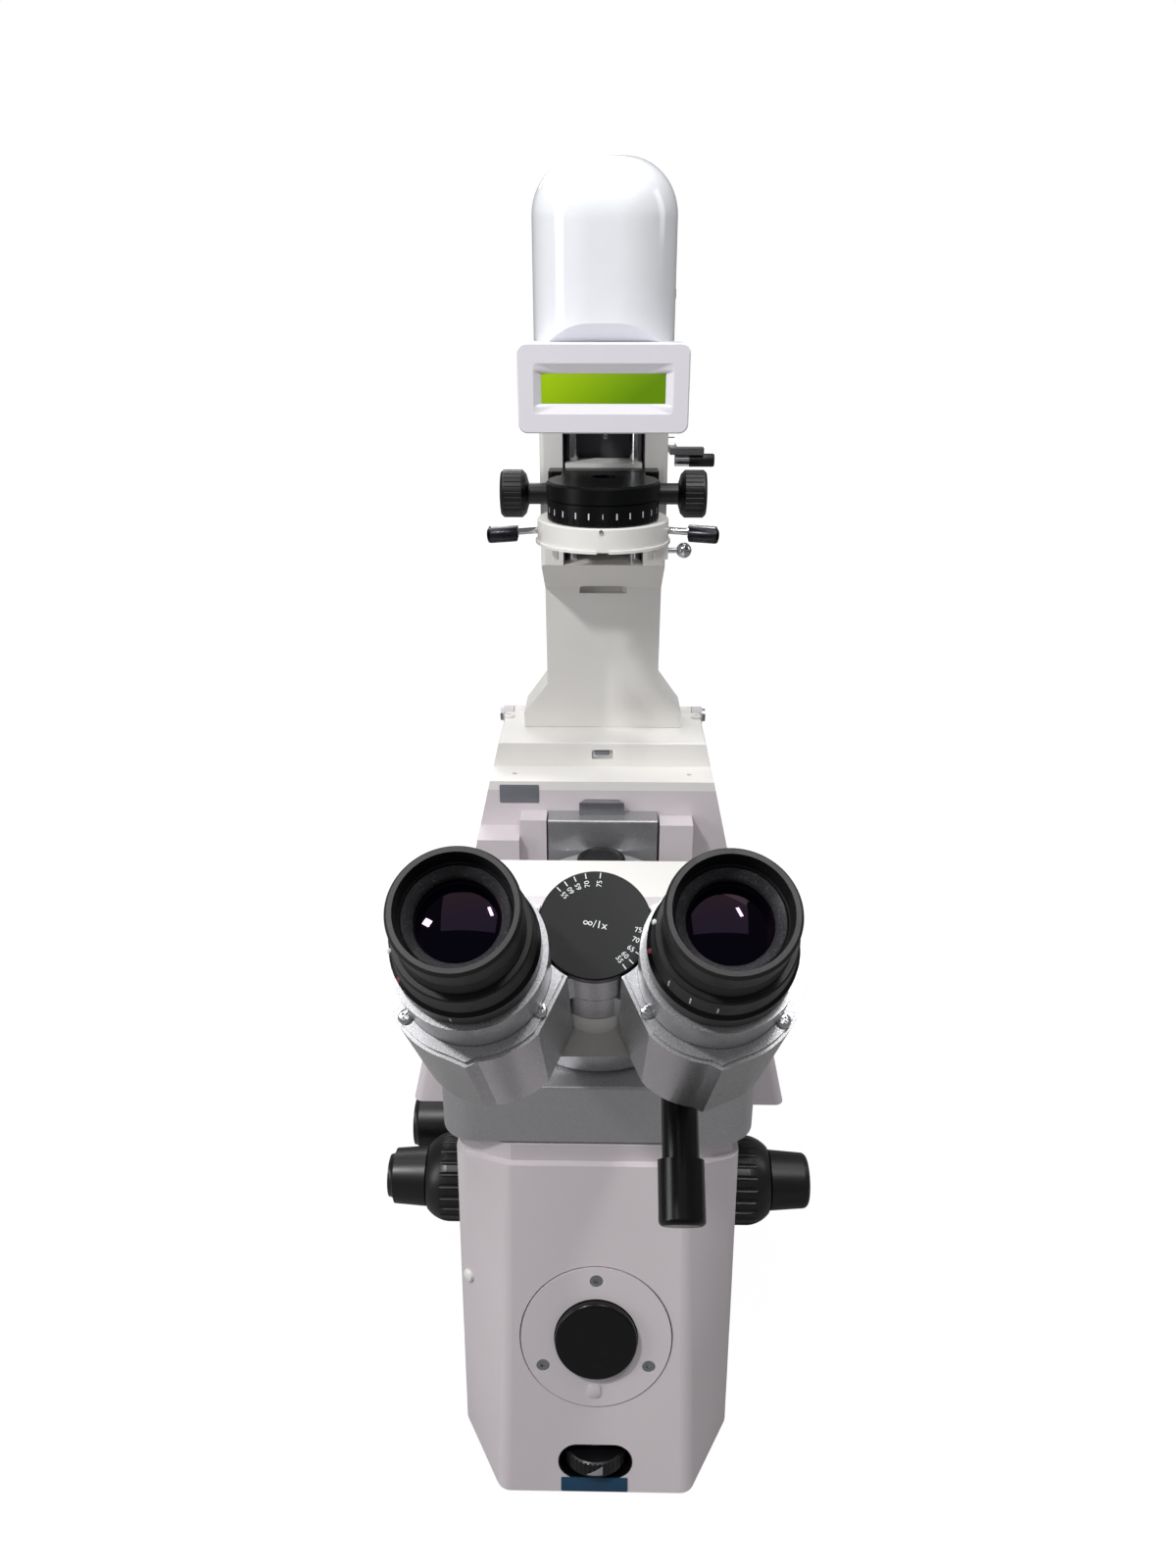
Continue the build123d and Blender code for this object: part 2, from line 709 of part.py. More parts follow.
def coarse_knob(side):
    """One fluted coarse knob, with a rounded shoulder towards the fine knob."""
    inner = side * (stand_half + knob_gap)
    bore = coarse_shaft_radius + run_gap
    with BuildPart() as knob:
        with BuildSketch(Plane(origin=(inner, focus_y, focus_z), x_dir=(side, 0, 0), z_dir=(0, -side, 0))):
            with BuildLine():
                Polyline((0, bore), (0, coarse_knob_radius - 2), (2, coarse_knob_radius),
                         (coarse_knob_length * 0.55, coarse_knob_radius))
                ThreePointArc((coarse_knob_length * 0.55, coarse_knob_radius),
                              (coarse_knob_length * 0.8, coarse_knob_radius - 2.2),
                              (coarse_knob_length, coarse_shoulder_radius))
                Polyline((coarse_knob_length, coarse_shoulder_radius), (coarse_knob_length, bore), (0, bore))
            make_face()
        revolve(axis=Axis((0, focus_y, focus_z), (1, 0, 0)))
        with Locations(Plane(origin=(inner + side * coarse_knob_length * 0.3, focus_y, focus_z),
                             x_dir=(0, 1, 0), z_dir=(1, 0, 0))):
            with PolarLocations(coarse_knob_radius + 0.6, flute_count):
                Cylinder(flute_radius, coarse_knob_length * 0.8, mode=Mode.SUBTRACT)
    return knob.part


def fine_knob(side):
    """One smooth fine knob, slightly tapered, with a rounded end."""
    inner = side * (coarse_end + seat_gap)
    bore = fine_shaft_radius + run_gap
    tip = fine_knob_radius - fine_knob_taper
    with BuildPart() as knob:
        with BuildSketch(Plane(origin=(inner, focus_y, focus_z), x_dir=(side, 0, 0), z_dir=(0, -side, 0))):
            with BuildLine():
                Polyline((0, bore), (0, fine_knob_radius - 1), (1, fine_knob_radius),
                         (fine_knob_length - 4, tip))
                RadiusArc((fine_knob_length - 4, tip), (fine_knob_length, tip - 4), 4 * side)
                Polyline((fine_knob_length, tip - 4), (fine_knob_length, 0), (fine_knob_length - 4, 0),
                         (fine_knob_length - 4, bore), (0, bore))
            make_face()
        revolve(axis=Axis((0, focus_y, focus_z), (1, 0, 0)))
    return knob.part


with BuildPart() as coarse_focus_knobs:
    add(coarse_knob(-1))
    add(coarse_knob(1))
keep("coarse_focus_knobs", coarse_focus_knobs)

with BuildPart() as fine_focus_knobs:
    add(fine_knob(-1))
    add(fine_knob(1))
keep("fine_focus_knobs", fine_focus_knobs)

with BuildPart() as port_selector_knob:
    with BuildSketch(Plane(origin=(-stand_half - seat_gap, selector_y, selector_z), x_dir=(-1, 0, 0),
                           z_dir=(0, 1, 0))):
        with BuildLine():
            reach = selector_collar_length + selector_length
            Polyline((-selector_shaft_depth, 0), (-selector_shaft_depth, selector_shaft_radius),
                     (0, selector_shaft_radius), (0, selector_collar_radius),
                     (selector_collar_length, selector_collar_radius),
                     (selector_collar_length, selector_radius - 1), (selector_collar_length + 1, selector_radius),
                     (reach - 4, selector_radius - 1.5))
            RadiusArc((reach - 4, selector_radius - 1.5), (reach, selector_radius - 5.5), -4)
            Polyline((reach, selector_radius - 5.5), (reach, 0), (-selector_shaft_depth, 0))
        make_face()
    revolve(axis=Axis((0, selector_y, selector_z), (1, 0, 0)))
keep("port_selector_knob", port_selector_knob)

# Nosepiece: turret plane, tilted towards the user, whose normal is the turret's axis
tilt = radians(turret_tilt)
turret_plane = Plane(
    origin=(0, optic_y - socket_pitch * cos(tilt), seat_z - socket_pitch * sin(tilt)),
    x_dir=(1, 0, 0), z_dir=(0, -sin(tilt), cos(tilt)),
)
hub_rise = (socket_pitch - turret_hub_radius) * tan(tilt)
rim_drop = (turret_radius - socket_pitch) * tan(tilt)
turret_bottom = -rim_drop - turret_rim
plate_top = turret_bottom - seat_gap


def socket_plane(index, out=0.0):
    """Plane on one socket's seat, whose normal is that socket's own axis."""
    angle = radians(90 + index * 360 / socket_count)
    radial = turret_plane.x_dir * cos(angle) + turret_plane.y_dir * sin(angle)
    axis = turret_plane.z_dir * cos(tilt) + radial * sin(tilt)
    across = turret_plane.z_dir.cross(radial)
    return Plane(origin=turret_plane.origin + radial * socket_pitch, x_dir=across, z_dir=axis).offset(out)


# Rail on the rear wall of the bay, flared like a dovetail, and the carriage that rides on it
def rail_outline(gap=0.0):
    """Plan of the rail, or of the groove for it when a gap is given."""
    front = bay_rear_y - rail_depth - gap
    with BuildSketch(Plane.XY.offset(bay_floor_z)) as outline:
        with BuildLine():
            Polyline((-rail_half - gap, bay_rear_y), (rail_half + gap, bay_rear_y),
                     (rail_half + rail_flare + gap, front), (-rail_half - rail_flare - gap, front), close=True)
        make_face()
    return outline.sketch


with BuildPart() as nosepiece_rail:
    add(rail_outline())
    extrude(amount=support_z - 8 - bay_floor_z)
keep("nosepiece_rail", nosepiece_rail)

with BuildPart() as nosepiece_carriage:
    carriage_rear_y = bay_rear_y - seat_gap
    with BuildSketch(Plane.XY.offset(carriage_bottom_z)):
        with Locations(((carriage_right - carriage_left) / 2, (carriage_front_y + carriage_rear_y) / 2)):
            Rectangle(carriage_left + carriage_right, carriage_rear_y - carriage_front_y)
    extrude(amount=carriage_top_z - carriage_bottom_z)
    fillet(nosepiece_carriage.edges().filter_by(Axis.X).sort_by(Axis.Z)[-2:].sort_by(Axis.Y)[:1], 2)
    with BuildSketch(turret_plane.offset(plate_top)):
        Circle(turret_radius * 0.6)
        with Locations((0, socket_pitch * 0.75)):
            Rectangle(turret_radius * 0.9, socket_pitch * 1.5)
    extrude(amount=-plate_thickness)
    with BuildSketch(Plane.XY.offset(bay_floor_z)):
        with Locations((0, carriage_rear_y + 50)):
            Rectangle(400, 100)
    extrude(amount=deck_z, mode=Mode.SUBTRACT)
    with BuildSketch(turret_plane.offset(plate_top)):
        Circle(turret_radius + swing_gap)
    extrude(amount=hub_rise - plate_top, mode=Mode.SUBTRACT)
    with BuildSketch(turret_plane.offset(plate_top - plate_thickness)):
        Circle(pivot_radius)
    extrude(amount=plate_thickness - plate_top + hub_rise)
    add(rail_outline(slide_gap))
    extrude(amount=deck_z, mode=Mode.SUBTRACT)
    with BuildSketch(Plane.XY.offset(bay_floor_z)):
        with Locations((0, optic_y)):
            Circle(socket_radius + 1.5)
    extrude(amount=seat_z - bay_floor_z - 12, mode=Mode.SUBTRACT)
keep("nosepiece_carriage", nosepiece_carriage)

def socket_cutter(index):
    """What one socket takes out of the turret: the bore and a round flat around it."""
    with BuildPart() as cutter:
        with BuildSketch(socket_plane(index, -spot_depth)):
            Circle(cap_radius + 0.6)
        extrude(amount=2 * cap_height)
        with BuildSketch(socket_plane(index)):
            Circle(socket_radius)
        extrude(amount=-40)
    return cutter.part


with BuildPart() as nosepiece_turret:
    with BuildSketch(Plane(origin=turret_plane.origin, x_dir=turret_plane.x_dir, z_dir=-turret_plane.y_dir)):
        with BuildLine():
            Polyline((pivot_radius + run_gap, hub_rise), (turret_hub_radius, hub_rise),
                     (turret_radius - 1, -rim_drop), (turret_radius, -rim_drop - 1),
                     (turret_radius, turret_bottom), (pivot_radius + run_gap, turret_bottom), close=True)
        make_face()
    revolve(axis=Axis(turret_plane.origin, turret_plane.z_dir))
    for index in range(socket_count):
        add(socket_cutter(index), mode=Mode.SUBTRACT)
    with Locations(turret_plane.offset(turret_bottom + turret_rim / 2 - 0.5)):
        with PolarLocations(turret_radius + 0.5, 54, start_angle=2):
            Cylinder(0.9, turret_rim - 4, mode=Mode.SUBTRACT)
keep("nosepiece_turret", nosepiece_turret)


def dust_cap(index):
    """A push-in cap in one socket of the turret."""
    seat = socket_plane(index, -spot_depth)
    with BuildPart() as cap:
        with BuildSketch(Plane(origin=seat.origin, x_dir=seat.x_dir, z_dir=-seat.y_dir)):
            with BuildLine():
                Polyline((0, -5), (socket_radius - run_gap, -5), (socket_radius - run_gap, 0), (cap_radius, 0),
                         (cap_radius, cap_height - 3))
                ThreePointArc((cap_radius, cap_height - 3), (cap_radius - 0.9, cap_height - 0.9),
                              (cap_radius - 3, cap_height))
                Polyline((cap_radius - 3, cap_height), (cap_radius - 6, cap_height - 1.2), (0, cap_height - 1.2),
                         (0, -5))
            make_face()
        revolve(axis=Axis(seat.origin, seat.z_dir))
    return cap.part


with BuildPart() as objective_dust_caps:
    for index in range(socket_count):
        add(dust_cap(index))
keep("objective_dust_caps", objective_dust_caps)

# Viewing tube. Its plane's normal points at the user's eyes and its y axis points up and back.
tube = radians(tube_tilt)
tube_plane = Plane(origin=(0, hinge_y, hinge_z), x_dir=(1, 0, 0), z_dir=(0, -cos(tube), sin(tube)))
droop = acos(pupil_distance / (2 * arm_length))
droop_most = acos(pupil_distance_least / (2 * arm_length))
hub_top = -disc_thickness - 2 * (knuckle_height + swing_gap)


def arm_plane(side, height=0.0):
    """Plane of one arm: x runs from the hinge to the eyepiece, y up for the right arm and down for the left."""
    direction = tube_plane.x_dir * (side * cos(droop)) - tube_plane.y_dir * sin(droop)
    return Plane(origin=tube_plane.origin, x_dir=direction, z_dir=tube_plane.z_dir).offset(height)


def housing_outline(side, height, inset=0.0):
    """Outline of a prism housing: round outside, with a flat where the two meet when folded in."""
    with BuildSketch(arm_plane(side, height)) as outline:
        with BuildLine():
            Polyline(*[(u, -side * v) for u, v in (
                (13, 12), (15, 13), (25, 22.5), (31, 26), (53, 27.5), (62, 18.6), (arm_length, 0),
                (22.5, -21.5), (13, -12))], close=True)
        make_face()
        with Locations((arm_length, 0)):
            Circle(housing_radius)
        flat = Vector(arm_length - meeting_flat * cos(droop_most), -side * meeting_flat * sin(droop_most))
        out = Vector(-cos(droop_most), -side * sin(droop_most)) * housing_radius
        with Locations(Location(tuple(flat + out), (0, 0, side * degrees(droop_most)))):
            Rectangle(2 * housing_radius, 2 * housing_radius, mode=Mode.SUBTRACT)
        if inset:
            offset(amount=-inset, mode=Mode.REPLACE)
    return outline.sketch


def prism_housing(side, knuckle_top):
    """One folding arm: the prism housing, its web and knuckle, and the collar for an eyepiece."""
    with BuildPart() as arm:
        extrude(housing_outline(side, -housing_depth), amount=housing_depth - cover_thickness + cover_proud,
                dir=tube_plane.z_dir)
        with BuildSketch(arm_plane(side, -2 * cover_thickness)):
            with Locations((arm_length, 0)):
                Circle(collar_radius)
        extrude(amount=collar_top + 2 * cover_thickness)
        with BuildSketch(tube_plane.offset(seat_gap)):
            Circle(disc_radius + swing_gap)
        extrude(amount=-housing_depth - 1, mode=Mode.SUBTRACT)
        with BuildSketch(arm_plane(side, knuckle_top)):
            Circle(knuckle_radius)
            with Locations((arm_length / 2 - 4, 0)):
                Rectangle(arm_length - 8, 2 * web_half)
        extrude(amount=-knuckle_height)
        with BuildSketch(arm_plane(side, collar_top)):
            with Locations((arm_length, 0)):
                Circle(barrel_radius + run_gap)
        extrude(amount=-barrel_depth - 1, mode=Mode.SUBTRACT)
        with BuildSketch(arm_plane(side, collar_top - barrel_depth)):
            with Locations((arm_length, 0)):
                Circle(lens_radius - 2)
        extrude(amount=-20, mode=Mode.SUBTRACT)
        with BuildSketch(tube_plane.offset(knuckle_top + 1)):
            Circle(hinge_pin_radius + run_gap)
        extrude(amount=-knuckle_height - 2, mode=Mode.SUBTRACT)
    return arm.part


def housing_cover(side):
    """The thin plate over a prism housing, with two screw holes and a hole for the collar."""
    with BuildPart() as cover:
        extrude(housing_outline(side, cover_proud - cover_thickness, cover_inset), amount=cover_thickness,
                dir=tube_plane.z_dir)
        with BuildSketch(arm_plane(side, cover_proud)):
            Circle(disc_radius + 2 * swing_gap)
            with Locations((arm_length, 0)):
                Circle(collar_radius + slide_gap)
        extrude(amount=-2 * cover_thickness, mode=Mode.SUBTRACT)
    return cover.part


def eyepiece_turned(side, points_of):
    """A piece turned about one eyepiece's axis from a half profile of (radius, height)."""
    plane = arm_plane(side)
    centre = plane.origin + plane.x_dir * arm_length
    with BuildPart() as turned:
        with BuildSketch(Plane(origin=centre, x_dir=plane.x_dir, z_dir=plane.x_dir.cross(plane.z_dir))):
            with BuildLine():
                points_of()
            make_face()
        revolve(axis=Axis(centre, plane.z_dir))
    return turned.part


ring_top = collar_top + ring_height
diopter_low = ring_top + seat_gap
diopter_top = diopter_low + diopter_height
inner_radius = barrel_radius + 0.5
lens_seat = eyecup_top - 13


def eyepiece_profile():
    """Barrel, fixed ring and the inner tube that carries the lens."""
    Polyline((lens_radius - 1.5, collar_top - barrel_depth), (barrel_radius, collar_top - barrel_depth),
             (barrel_radius, collar_top), (ring_radius - 0.6, collar_top), (ring_radius, collar_top + 0.6),
             (ring_radius, ring_top - 1.5), (ring_radius - 1.5, ring_top), (inner_radius, ring_top),
             (inner_radius, lens_seat + 6), (lens_radius + run_gap, lens_seat + 3),
             (lens_radius + run_gap, lens_seat), (lens_radius - 1.5, lens_seat), close=True)


def diopter_profile():
    """The turning ring above the fixed ring, with its rubber cup: a waist, then a rim that leans outwards."""
    Polyline((inner_radius + run_gap, diopter_low), (diopter_radius - 0.5, diopter_low),
             (diopter_radius, diopter_low + 0.5), (diopter_radius - 0.6, diopter_top - 0.5),
             (diopter_radius - 1.1, diopter_top), (eyecup_radius, diopter_top),
             (eyecup_radius - 0.2, diopter_top + 2))
    ThreePointArc((eyecup_radius - 0.2, diopter_top + 2), (eyecup_radius - 1.2, diopter_top + 5),
                  (eyecup_radius - 0.4, diopter_top + 8))
    Polyline((eyecup_radius - 0.4, diopter_top + 8), (eyecup_radius, eyecup_top - 1.2),
             (eyecup_radius - 0.8, eyecup_top), (eyecup_radius - 2.2, eyecup_top),
             (inner_radius + 0.4, eyecup_top - 6), (inner_radius + run_gap, eyecup_top - 6.5),
             (inner_radius + run_gap, diopter_low))


def eye_lens(side):
    """The biconvex eye lens of one eyepiece."""
    plane = arm_plane(side)
    centre = plane.origin + plane.x_dir * arm_length
    low, high = lens_seat, lens_seat + lens_thickness
    with BuildPart() as lens:
        with Locations(Plane(origin=centre + plane.z_dir * (low + high) / 2, x_dir=(1, 0, 0), z_dir=plane.z_dir)):
            Cylinder(lens_radius, lens_thickness)
        with Locations(centre + plane.z_dir * (high - eye_lens_curve)):
            Sphere(eye_lens_curve, mode=Mode.INTERSECT)
    return lens.part


left_knuckle_top = -disc_thickness
right_knuckle_top = left_knuckle_top - knuckle_height - swing_gap
for side, word, knuckle_top in ((-1, "left", left_knuckle_top), (1, "right", right_knuckle_top)):
    pieces[f"{word}_prism_housing"] = prism_housing(side, knuckle_top)
    pieces[f"{word}_housing_cover"] = housing_cover(side)
    with BuildPart() as eyepiece:
        add(eyepiece_turned(side, eyepiece_profile))
        add(eye_lens(side))
    pieces[f"{word}_eyepiece"] = eyepiece.part
    pieces[f"{word}_diopter_ring"] = eyepiece_turned(side, diopter_profile)

# Scale disc, turned in one piece with the hinge pin
with BuildPart() as scale_disc:
    with BuildSketch(tube_plane.offset(-disc_thickness)):
        Circle(disc_radius)
    extrude(amount=disc_thickness)
    chamfer(scale_disc.edges().filter_by(GeomType.CIRCLE).sort_by(Axis.Z)[-1:], 0.4)
    with BuildSketch(tube_plane.offset(-disc_thickness)):
        Circle(hinge_pin_radius)
    extrude(amount=-housing_depth - 12)
keep("scale_disc", scale_disc)

neck_top = -housing_depth - swing_gap
ring_top_z = head_top_z + ring_mount_height
neck_underside = neck_height / 2
rod_start = Plane(origin=(rod_x, hinge_y, hinge_z), x_dir=(1, 0, 0), z_dir=-tube_plane.y_dir).offset(neck_underside)
rod_plane = Plane(origin=rod_start.origin + tube_plane.z_dir * (neck_top - rod_inset), x_dir=(1, 0, 0),
                  z_dir=-tube_plane.y_dir)
with BuildPart() as tube_neck:
    with BuildSketch(tube_plane.offset(neck_top)):
        RectangleRounded(neck_width, neck_height, 10)
    with BuildSketch(Plane.XY.offset(ring_top_z)):
        with Locations((0, neck_y)):
            RectangleRounded(neck_foot_width, neck_foot_depth, 20)
    loft()
    with BuildSketch(tube_plane.offset(neck_top)):
        Circle(knuckle_radius)
    extrude(amount=hub_top - swing_gap - neck_top)
    with BuildSketch(tube_plane.offset(0)):
        Circle(hinge_pin_radius + run_gap)
    extrude(amount=-housing_depth - 17, mode=Mode.SUBTRACT)
    with BuildSketch(rod_plane.offset(-rod_depth - 1)):
        Circle(rod_radius + run_gap)
    extrude(amount=2 * rod_depth, mode=Mode.SUBTRACT)
keep("tube_neck", tube_neck)

with BuildPart() as tube_mount_ring:
    with BuildSketch(Plane.XY.offset(head_top_z)):
        with Locations((0, neck_y)):
            Circle(ring_mount_radius)
            Circle(beam_radius + 5, mode=Mode.SUBTRACT)
    extrude(amount=ring_mount_height)
    chamfer(tube_mount_ring.edges().filter_by(GeomType.CIRCLE).sort_by(SortBy.RADIUS)[-2:], 2)
keep("tube_mount_ring", tube_mount_ring)

# Tube selector: a rod pulled out of the neck towards the user
with BuildPart() as tube_selector_rod:
    with BuildSketch(rod_plane.offset(-rod_depth)):
        Circle(rod_radius)
    extrude(amount=rod_depth + rod_reach)
    with BuildSketch(rod_plane.offset(rod_reach)):
        Circle(rod_knob_radius)
    extrude(amount=rod_knob_length)
    fillet(tube_selector_rod.edges().sort_by(Axis.Z)[:1], 2)
keep("tube_selector_rod", tube_selector_rod)

# Light carrier: hinge pin through the ears, barrel, foot, column and brow
with BuildPart() as carrier_hinge_pin:
    with Locations(Plane(origin=(0, pivot_y, pivot_z), x_dir=(0, 1, 0), z_dir=(1, 0, 0))):
        Cylinder(pivot_pin_radius, 2 * (ear_x + ear_width) + 2)
    for side in (-1, 1):
        with BuildSketch(sideways(side * (ear_x + ear_width))):
            with Locations((pivot_y, pivot_z)):
                Circle(pivot_pin_radius + 2)
        extrude(amount=side * 3)
keep("carrier_hinge_pin", carrier_hinge_pin)

foot_low_z = deck_z + deck_cover_height + seat_gap
with BuildPart() as carrier_column:
    with BuildSketch(sideways(-foot_half)):
        with BuildLine():
            Polyline((column_foot_front_y, foot_low_z), (column_front_y + 12, foot_top_z),
                     (column_front_y, brow_low_z), (channel_front_y, brow_low_z + 30),
                     (channel_front_y, column_top_z), (column_rear_y, column_top_z), (column_rear_y, 320),
                     (pivot_y - 5, 285), (pivot_y - 8, foot_low_z), close=True)
        make_face()
    extrude(amount=2 * foot_half)
    with BuildSketch(upright(0)):
        with BuildLine():
            Polyline((-foot_half, 0), (foot_half, 0), (foot_half, foot_low_z + 14), (column_half, foot_top_z),
                     (column_half, 2 * column_top_z), (-column_half, 2 * column_top_z),
                     (-column_half, foot_top_z), (-foot_half, foot_low_z + 14), close=True)
        make_face()
    extrude(amount=-2 * column_rear_y, mode=Mode.INTERSECT)
    long_edges = carrier_column.edges().filter_by(Axis.Z).filter_by(
        lambda edge: abs(edge.center().X) > column_half - 1 and edge.center().Z > foot_top_z)
    fillet(long_edges.group_by(Axis.Y)[0] + long_edges.group_by(Axis.Y)[-1], 4)
    with Locations(Plane(origin=(0, pivot_y, pivot_z), x_dir=(0, 1, 0), z_dir=(1, 0, 0))):
        Cylinder(ear_radius, 2 * (ear_x - swing_gap))
    for side in (-1, 1):
        with BuildSketch(sideways(side * (column_half - 12))):
            with BuildLine():
                Polyline((pivot_y - 8, foot_low_z + 1), (pivot_y, pivot_z), (pivot_y + ear_radius - 1, pivot_z),
                         (pivot_y + 6, 300), (pivot_y - 5, 300), close=True)
            make_face()
        extrude(amount=-side * 24)
    with Locations(Plane(origin=(0, pivot_y, pivot_z), x_dir=(0, 1, 0), z_dir=(1, 0, 0))):
        Cylinder(pivot_pin_radius + run_gap, 3 * ear_x, mode=Mode.SUBTRACT)
    # channel of the condenser slide, and the cable slot below the brow
    with BuildSketch(upright(channel_front_y)):
        with Locations((0, (channel_low_z + channel_high_z) / 2)):
            Rectangle(2 * channel_half, channel_high_z - channel_low_z)
    extrude(amount=-(channel_back_y - channel_front_y), mode=Mode.SUBTRACT)
    for x in (-guide_x, guide_x):
        with BuildSketch(Plane.XY.offset(channel_low_z - guide_seat)):
            with Locations((x, guide_y)):
                Circle(guide_radius + run_gap)
        extrude(amount=channel_high_z - channel_low_z + 2 * guide_seat, mode=Mode.SUBTRACT)
    with BuildSketch(Plane.XY.offset(brow_low_z - 5)):
        with Locations((0, column_front_y + 2)):
            SlotOverall(40, 12)
    extrude(amount=22, mode=Mode.SUBTRACT)
    with BuildSketch(sideways(column_half)):
        with Locations((lever_y, lever_z)):
            Circle(lever_shaft_radius + run_gap)
    extrude(amount=-lever_shaft_depth, mode=Mode.SUBTRACT)
keep("carrier_column", carrier_column)

with BuildPart() as condenser_guide_rods:
    for x in (-guide_x, guide_x):
        with BuildSketch(Plane.XY.offset(channel_low_z - guide_seat)):
            with Locations((x, guide_y)):
                Circle(guide_radius)
        extrude(amount=channel_high_z - channel_low_z + 2 * guide_seat)
keep("condenser_guide_rods", condenser_guide_rods)


# Head of the carrier: one arch cut into a nose cover and an arm, both hollow along the light path
def arch(y_front, y_rear):
    """Part of the arched head between two distances."""
    with BuildPart() as shell:
        with BuildSketch(upright(nose_y)):
            with Locations((0, (column_top_z + arch_top_z) / 2)):
                Rectangle(2 * arch_half, arch_top_z - column_top_z)
        extrude(amount=nose_y - head_end_y)
        fillet(shell.edges().filter_by(Axis.Y).group_by(Axis.Z)[-1], arch_radius)
        fillet(shell.edges().filter_by(Axis.Z).group_by(Axis.Y)[0], arch_plan_radius)
        with BuildSketch(sideways(-2 * arch_half)):
            with BuildLine():
                drop = nose_chin_z - column_top_z
                Polyline((nose_y - 50, nose_chin_z + 50), (nose_y - 50, 0), (nose_y + drop + 592, 0),
                         (nose_y + drop, column_top_z), (nose_y, nose_chin_z), close=True)
            make_face()
        extrude(amount=4 * arch_half, mode=Mode.SUBTRACT)
        with BuildSketch(upright(y_front)):
            with Locations((0, (column_top_z + arch_top_z) / 2)):
                Rectangle(4 * arch_half, 2 * arch_top_z)
        extrude(amount=y_front - y_rear, mode=Mode.INTERSECT)
        with BuildSketch(upright(optic_y - tunnel_radius)):
            with Locations((0, light_z)):
                Circle(tunnel_radius)
        extrude(amount=-2 * head_end_y, mode=Mode.SUBTRACT)
        with BuildSketch(Plane.XY.offset(column_top_z - 1)):
            with Locations((0, optic_y)):
                Circle(tunnel_radius)
        extrude(amount=light_z - column_top_z, mode=Mode.SUBTRACT)
    return shell.part


pieces["nose_cover"] = arch(nose_y, nose_rear_y)
pieces["head_arm"] = arch(nose_rear_y, head_end_y)

with BuildPart() as head_mirror:
    with BuildSketch(upright(optic_y - tunnel_radius)):
        with Locations((0, light_z)):
            Circle(tunnel_radius - slide_gap)
    extrude(amount=-2 * tunnel_radius)
    split(bisect_by=Plane(origin=(0, optic_y, light_z), x_dir=(1, 0, 0), z_dir=(0, -1, 1)), keep=Keep.TOP)
keep("head_mirror", head_mirror)

with BuildPart() as display_housing:
    display_z = column_top_z - display_height / 2
    with BuildSketch(upright(display_front_y)):
        with Locations((0, display_z)):
            RectangleRounded(display_width, display_height, display_radius)
    extrude(amount=display_front_y - display_rear_y)
    chamfer(display_housing.faces().sort_by(Axis.Y)[0].edges(), 0.8)
    with BuildSketch(upright(display_front_y)):
        with Locations((0, display_z)):
            RectangleRounded(bezel_width, bezel_height, 2)
    with BuildSketch(upright(display_front_y + bezel_depth)):
        with Locations((0, display_z)):
            Rectangle(window_width + 2 * slide_gap, window_height + 2 * slide_gap)
    loft(mode=Mode.SUBTRACT)
    with BuildSketch(upright(display_front_y + bezel_depth)):
        with Locations((0, display_z)):
            Rectangle(window_width + 2 * slide_gap, window_height + 2 * slide_gap)
    extrude(amount=-window_thickness, mode=Mode.SUBTRACT)
keep("display_housing", display_housing)

with BuildPart() as display_window:
    with BuildSketch(upright(display_front_y + bezel_depth)):
        with Locations((0, display_z)):
            Rectangle(window_width, window_height)
    extrude(amount=-window_thickness)
keep("display_window", display_window)

with BuildPart() as lamp_housing:
    lamp_z = (lamp_low_z + lamp_high_z) / 2
    with BuildSketch(upright(head_end_y)):
        with Locations((0, lamp_z)):
            RectangleRounded(2 * lamp_half, lamp_high_z - lamp_low_z, 12)
    extrude(amount=head_end_y - lamp_rear_y)
    chamfer(lamp_housing.faces().sort_by(Axis.Y)[-1].edges(), 2)
    with BuildSketch(upright(head_end_y)):
        with Locations((0, light_z)):
            Circle(tunnel_radius + 6)
    extrude(amount=-lamp_cavity, mode=Mode.SUBTRACT)
    with BuildSketch(Plane.XY.offset(lamp_high_z)):
        with GridLocations(lamp_half * 1.6 / lamp_slot_count, 1, lamp_slot_count, 1):
            with Locations((0, (head_end_y + lamp_rear_y) / 2)):
                SlotOverall(lamp_slot_length, 4, rotation=90)
    extrude(amount=-8, mode=Mode.SUBTRACT)
keep("lamp_housing", lamp_housing)

with BuildPart() as halogen_lamp:
    lamp_seat_y = head_end_y + lamp_cavity
    with BuildSketch(upright(lamp_seat_y)):
        with Locations((0, light_z)):
            Circle(9)
    extrude(amount=8)
    with BuildSketch(upright(lamp_seat_y - 8)):
        with Locations((0, light_z)):
            Circle(6)
    extrude(amount=16)
    fillet(halogen_lamp.edges().sort_by(Axis.Y)[:1], 5)
keep("halogen_lamp", halogen_lamp)

# Condenser: a plate on an arm that slides on the guide rods, driven by the cross shaft
turret_low_z = plate_high_z + swing_gap
turret_high_z = turret_low_z + condenser_turret_height
cover_low_z = turret_high_z + seat_gap
centring_start = lens_cell_radius + seat_gap


def centring_plane(side):
    """Plane at the inner end of one centring screw, whose normal points along the screw to its knob."""
    angle = radians(centring_angle)
    direction = Vector(side * cos(angle), -sin(angle), 0)
    origin = Vector(0, optic_y, centring_z) + direction * centring_start
    return Plane(origin=origin, x_dir=(0, 0, 1), z_dir=direction)


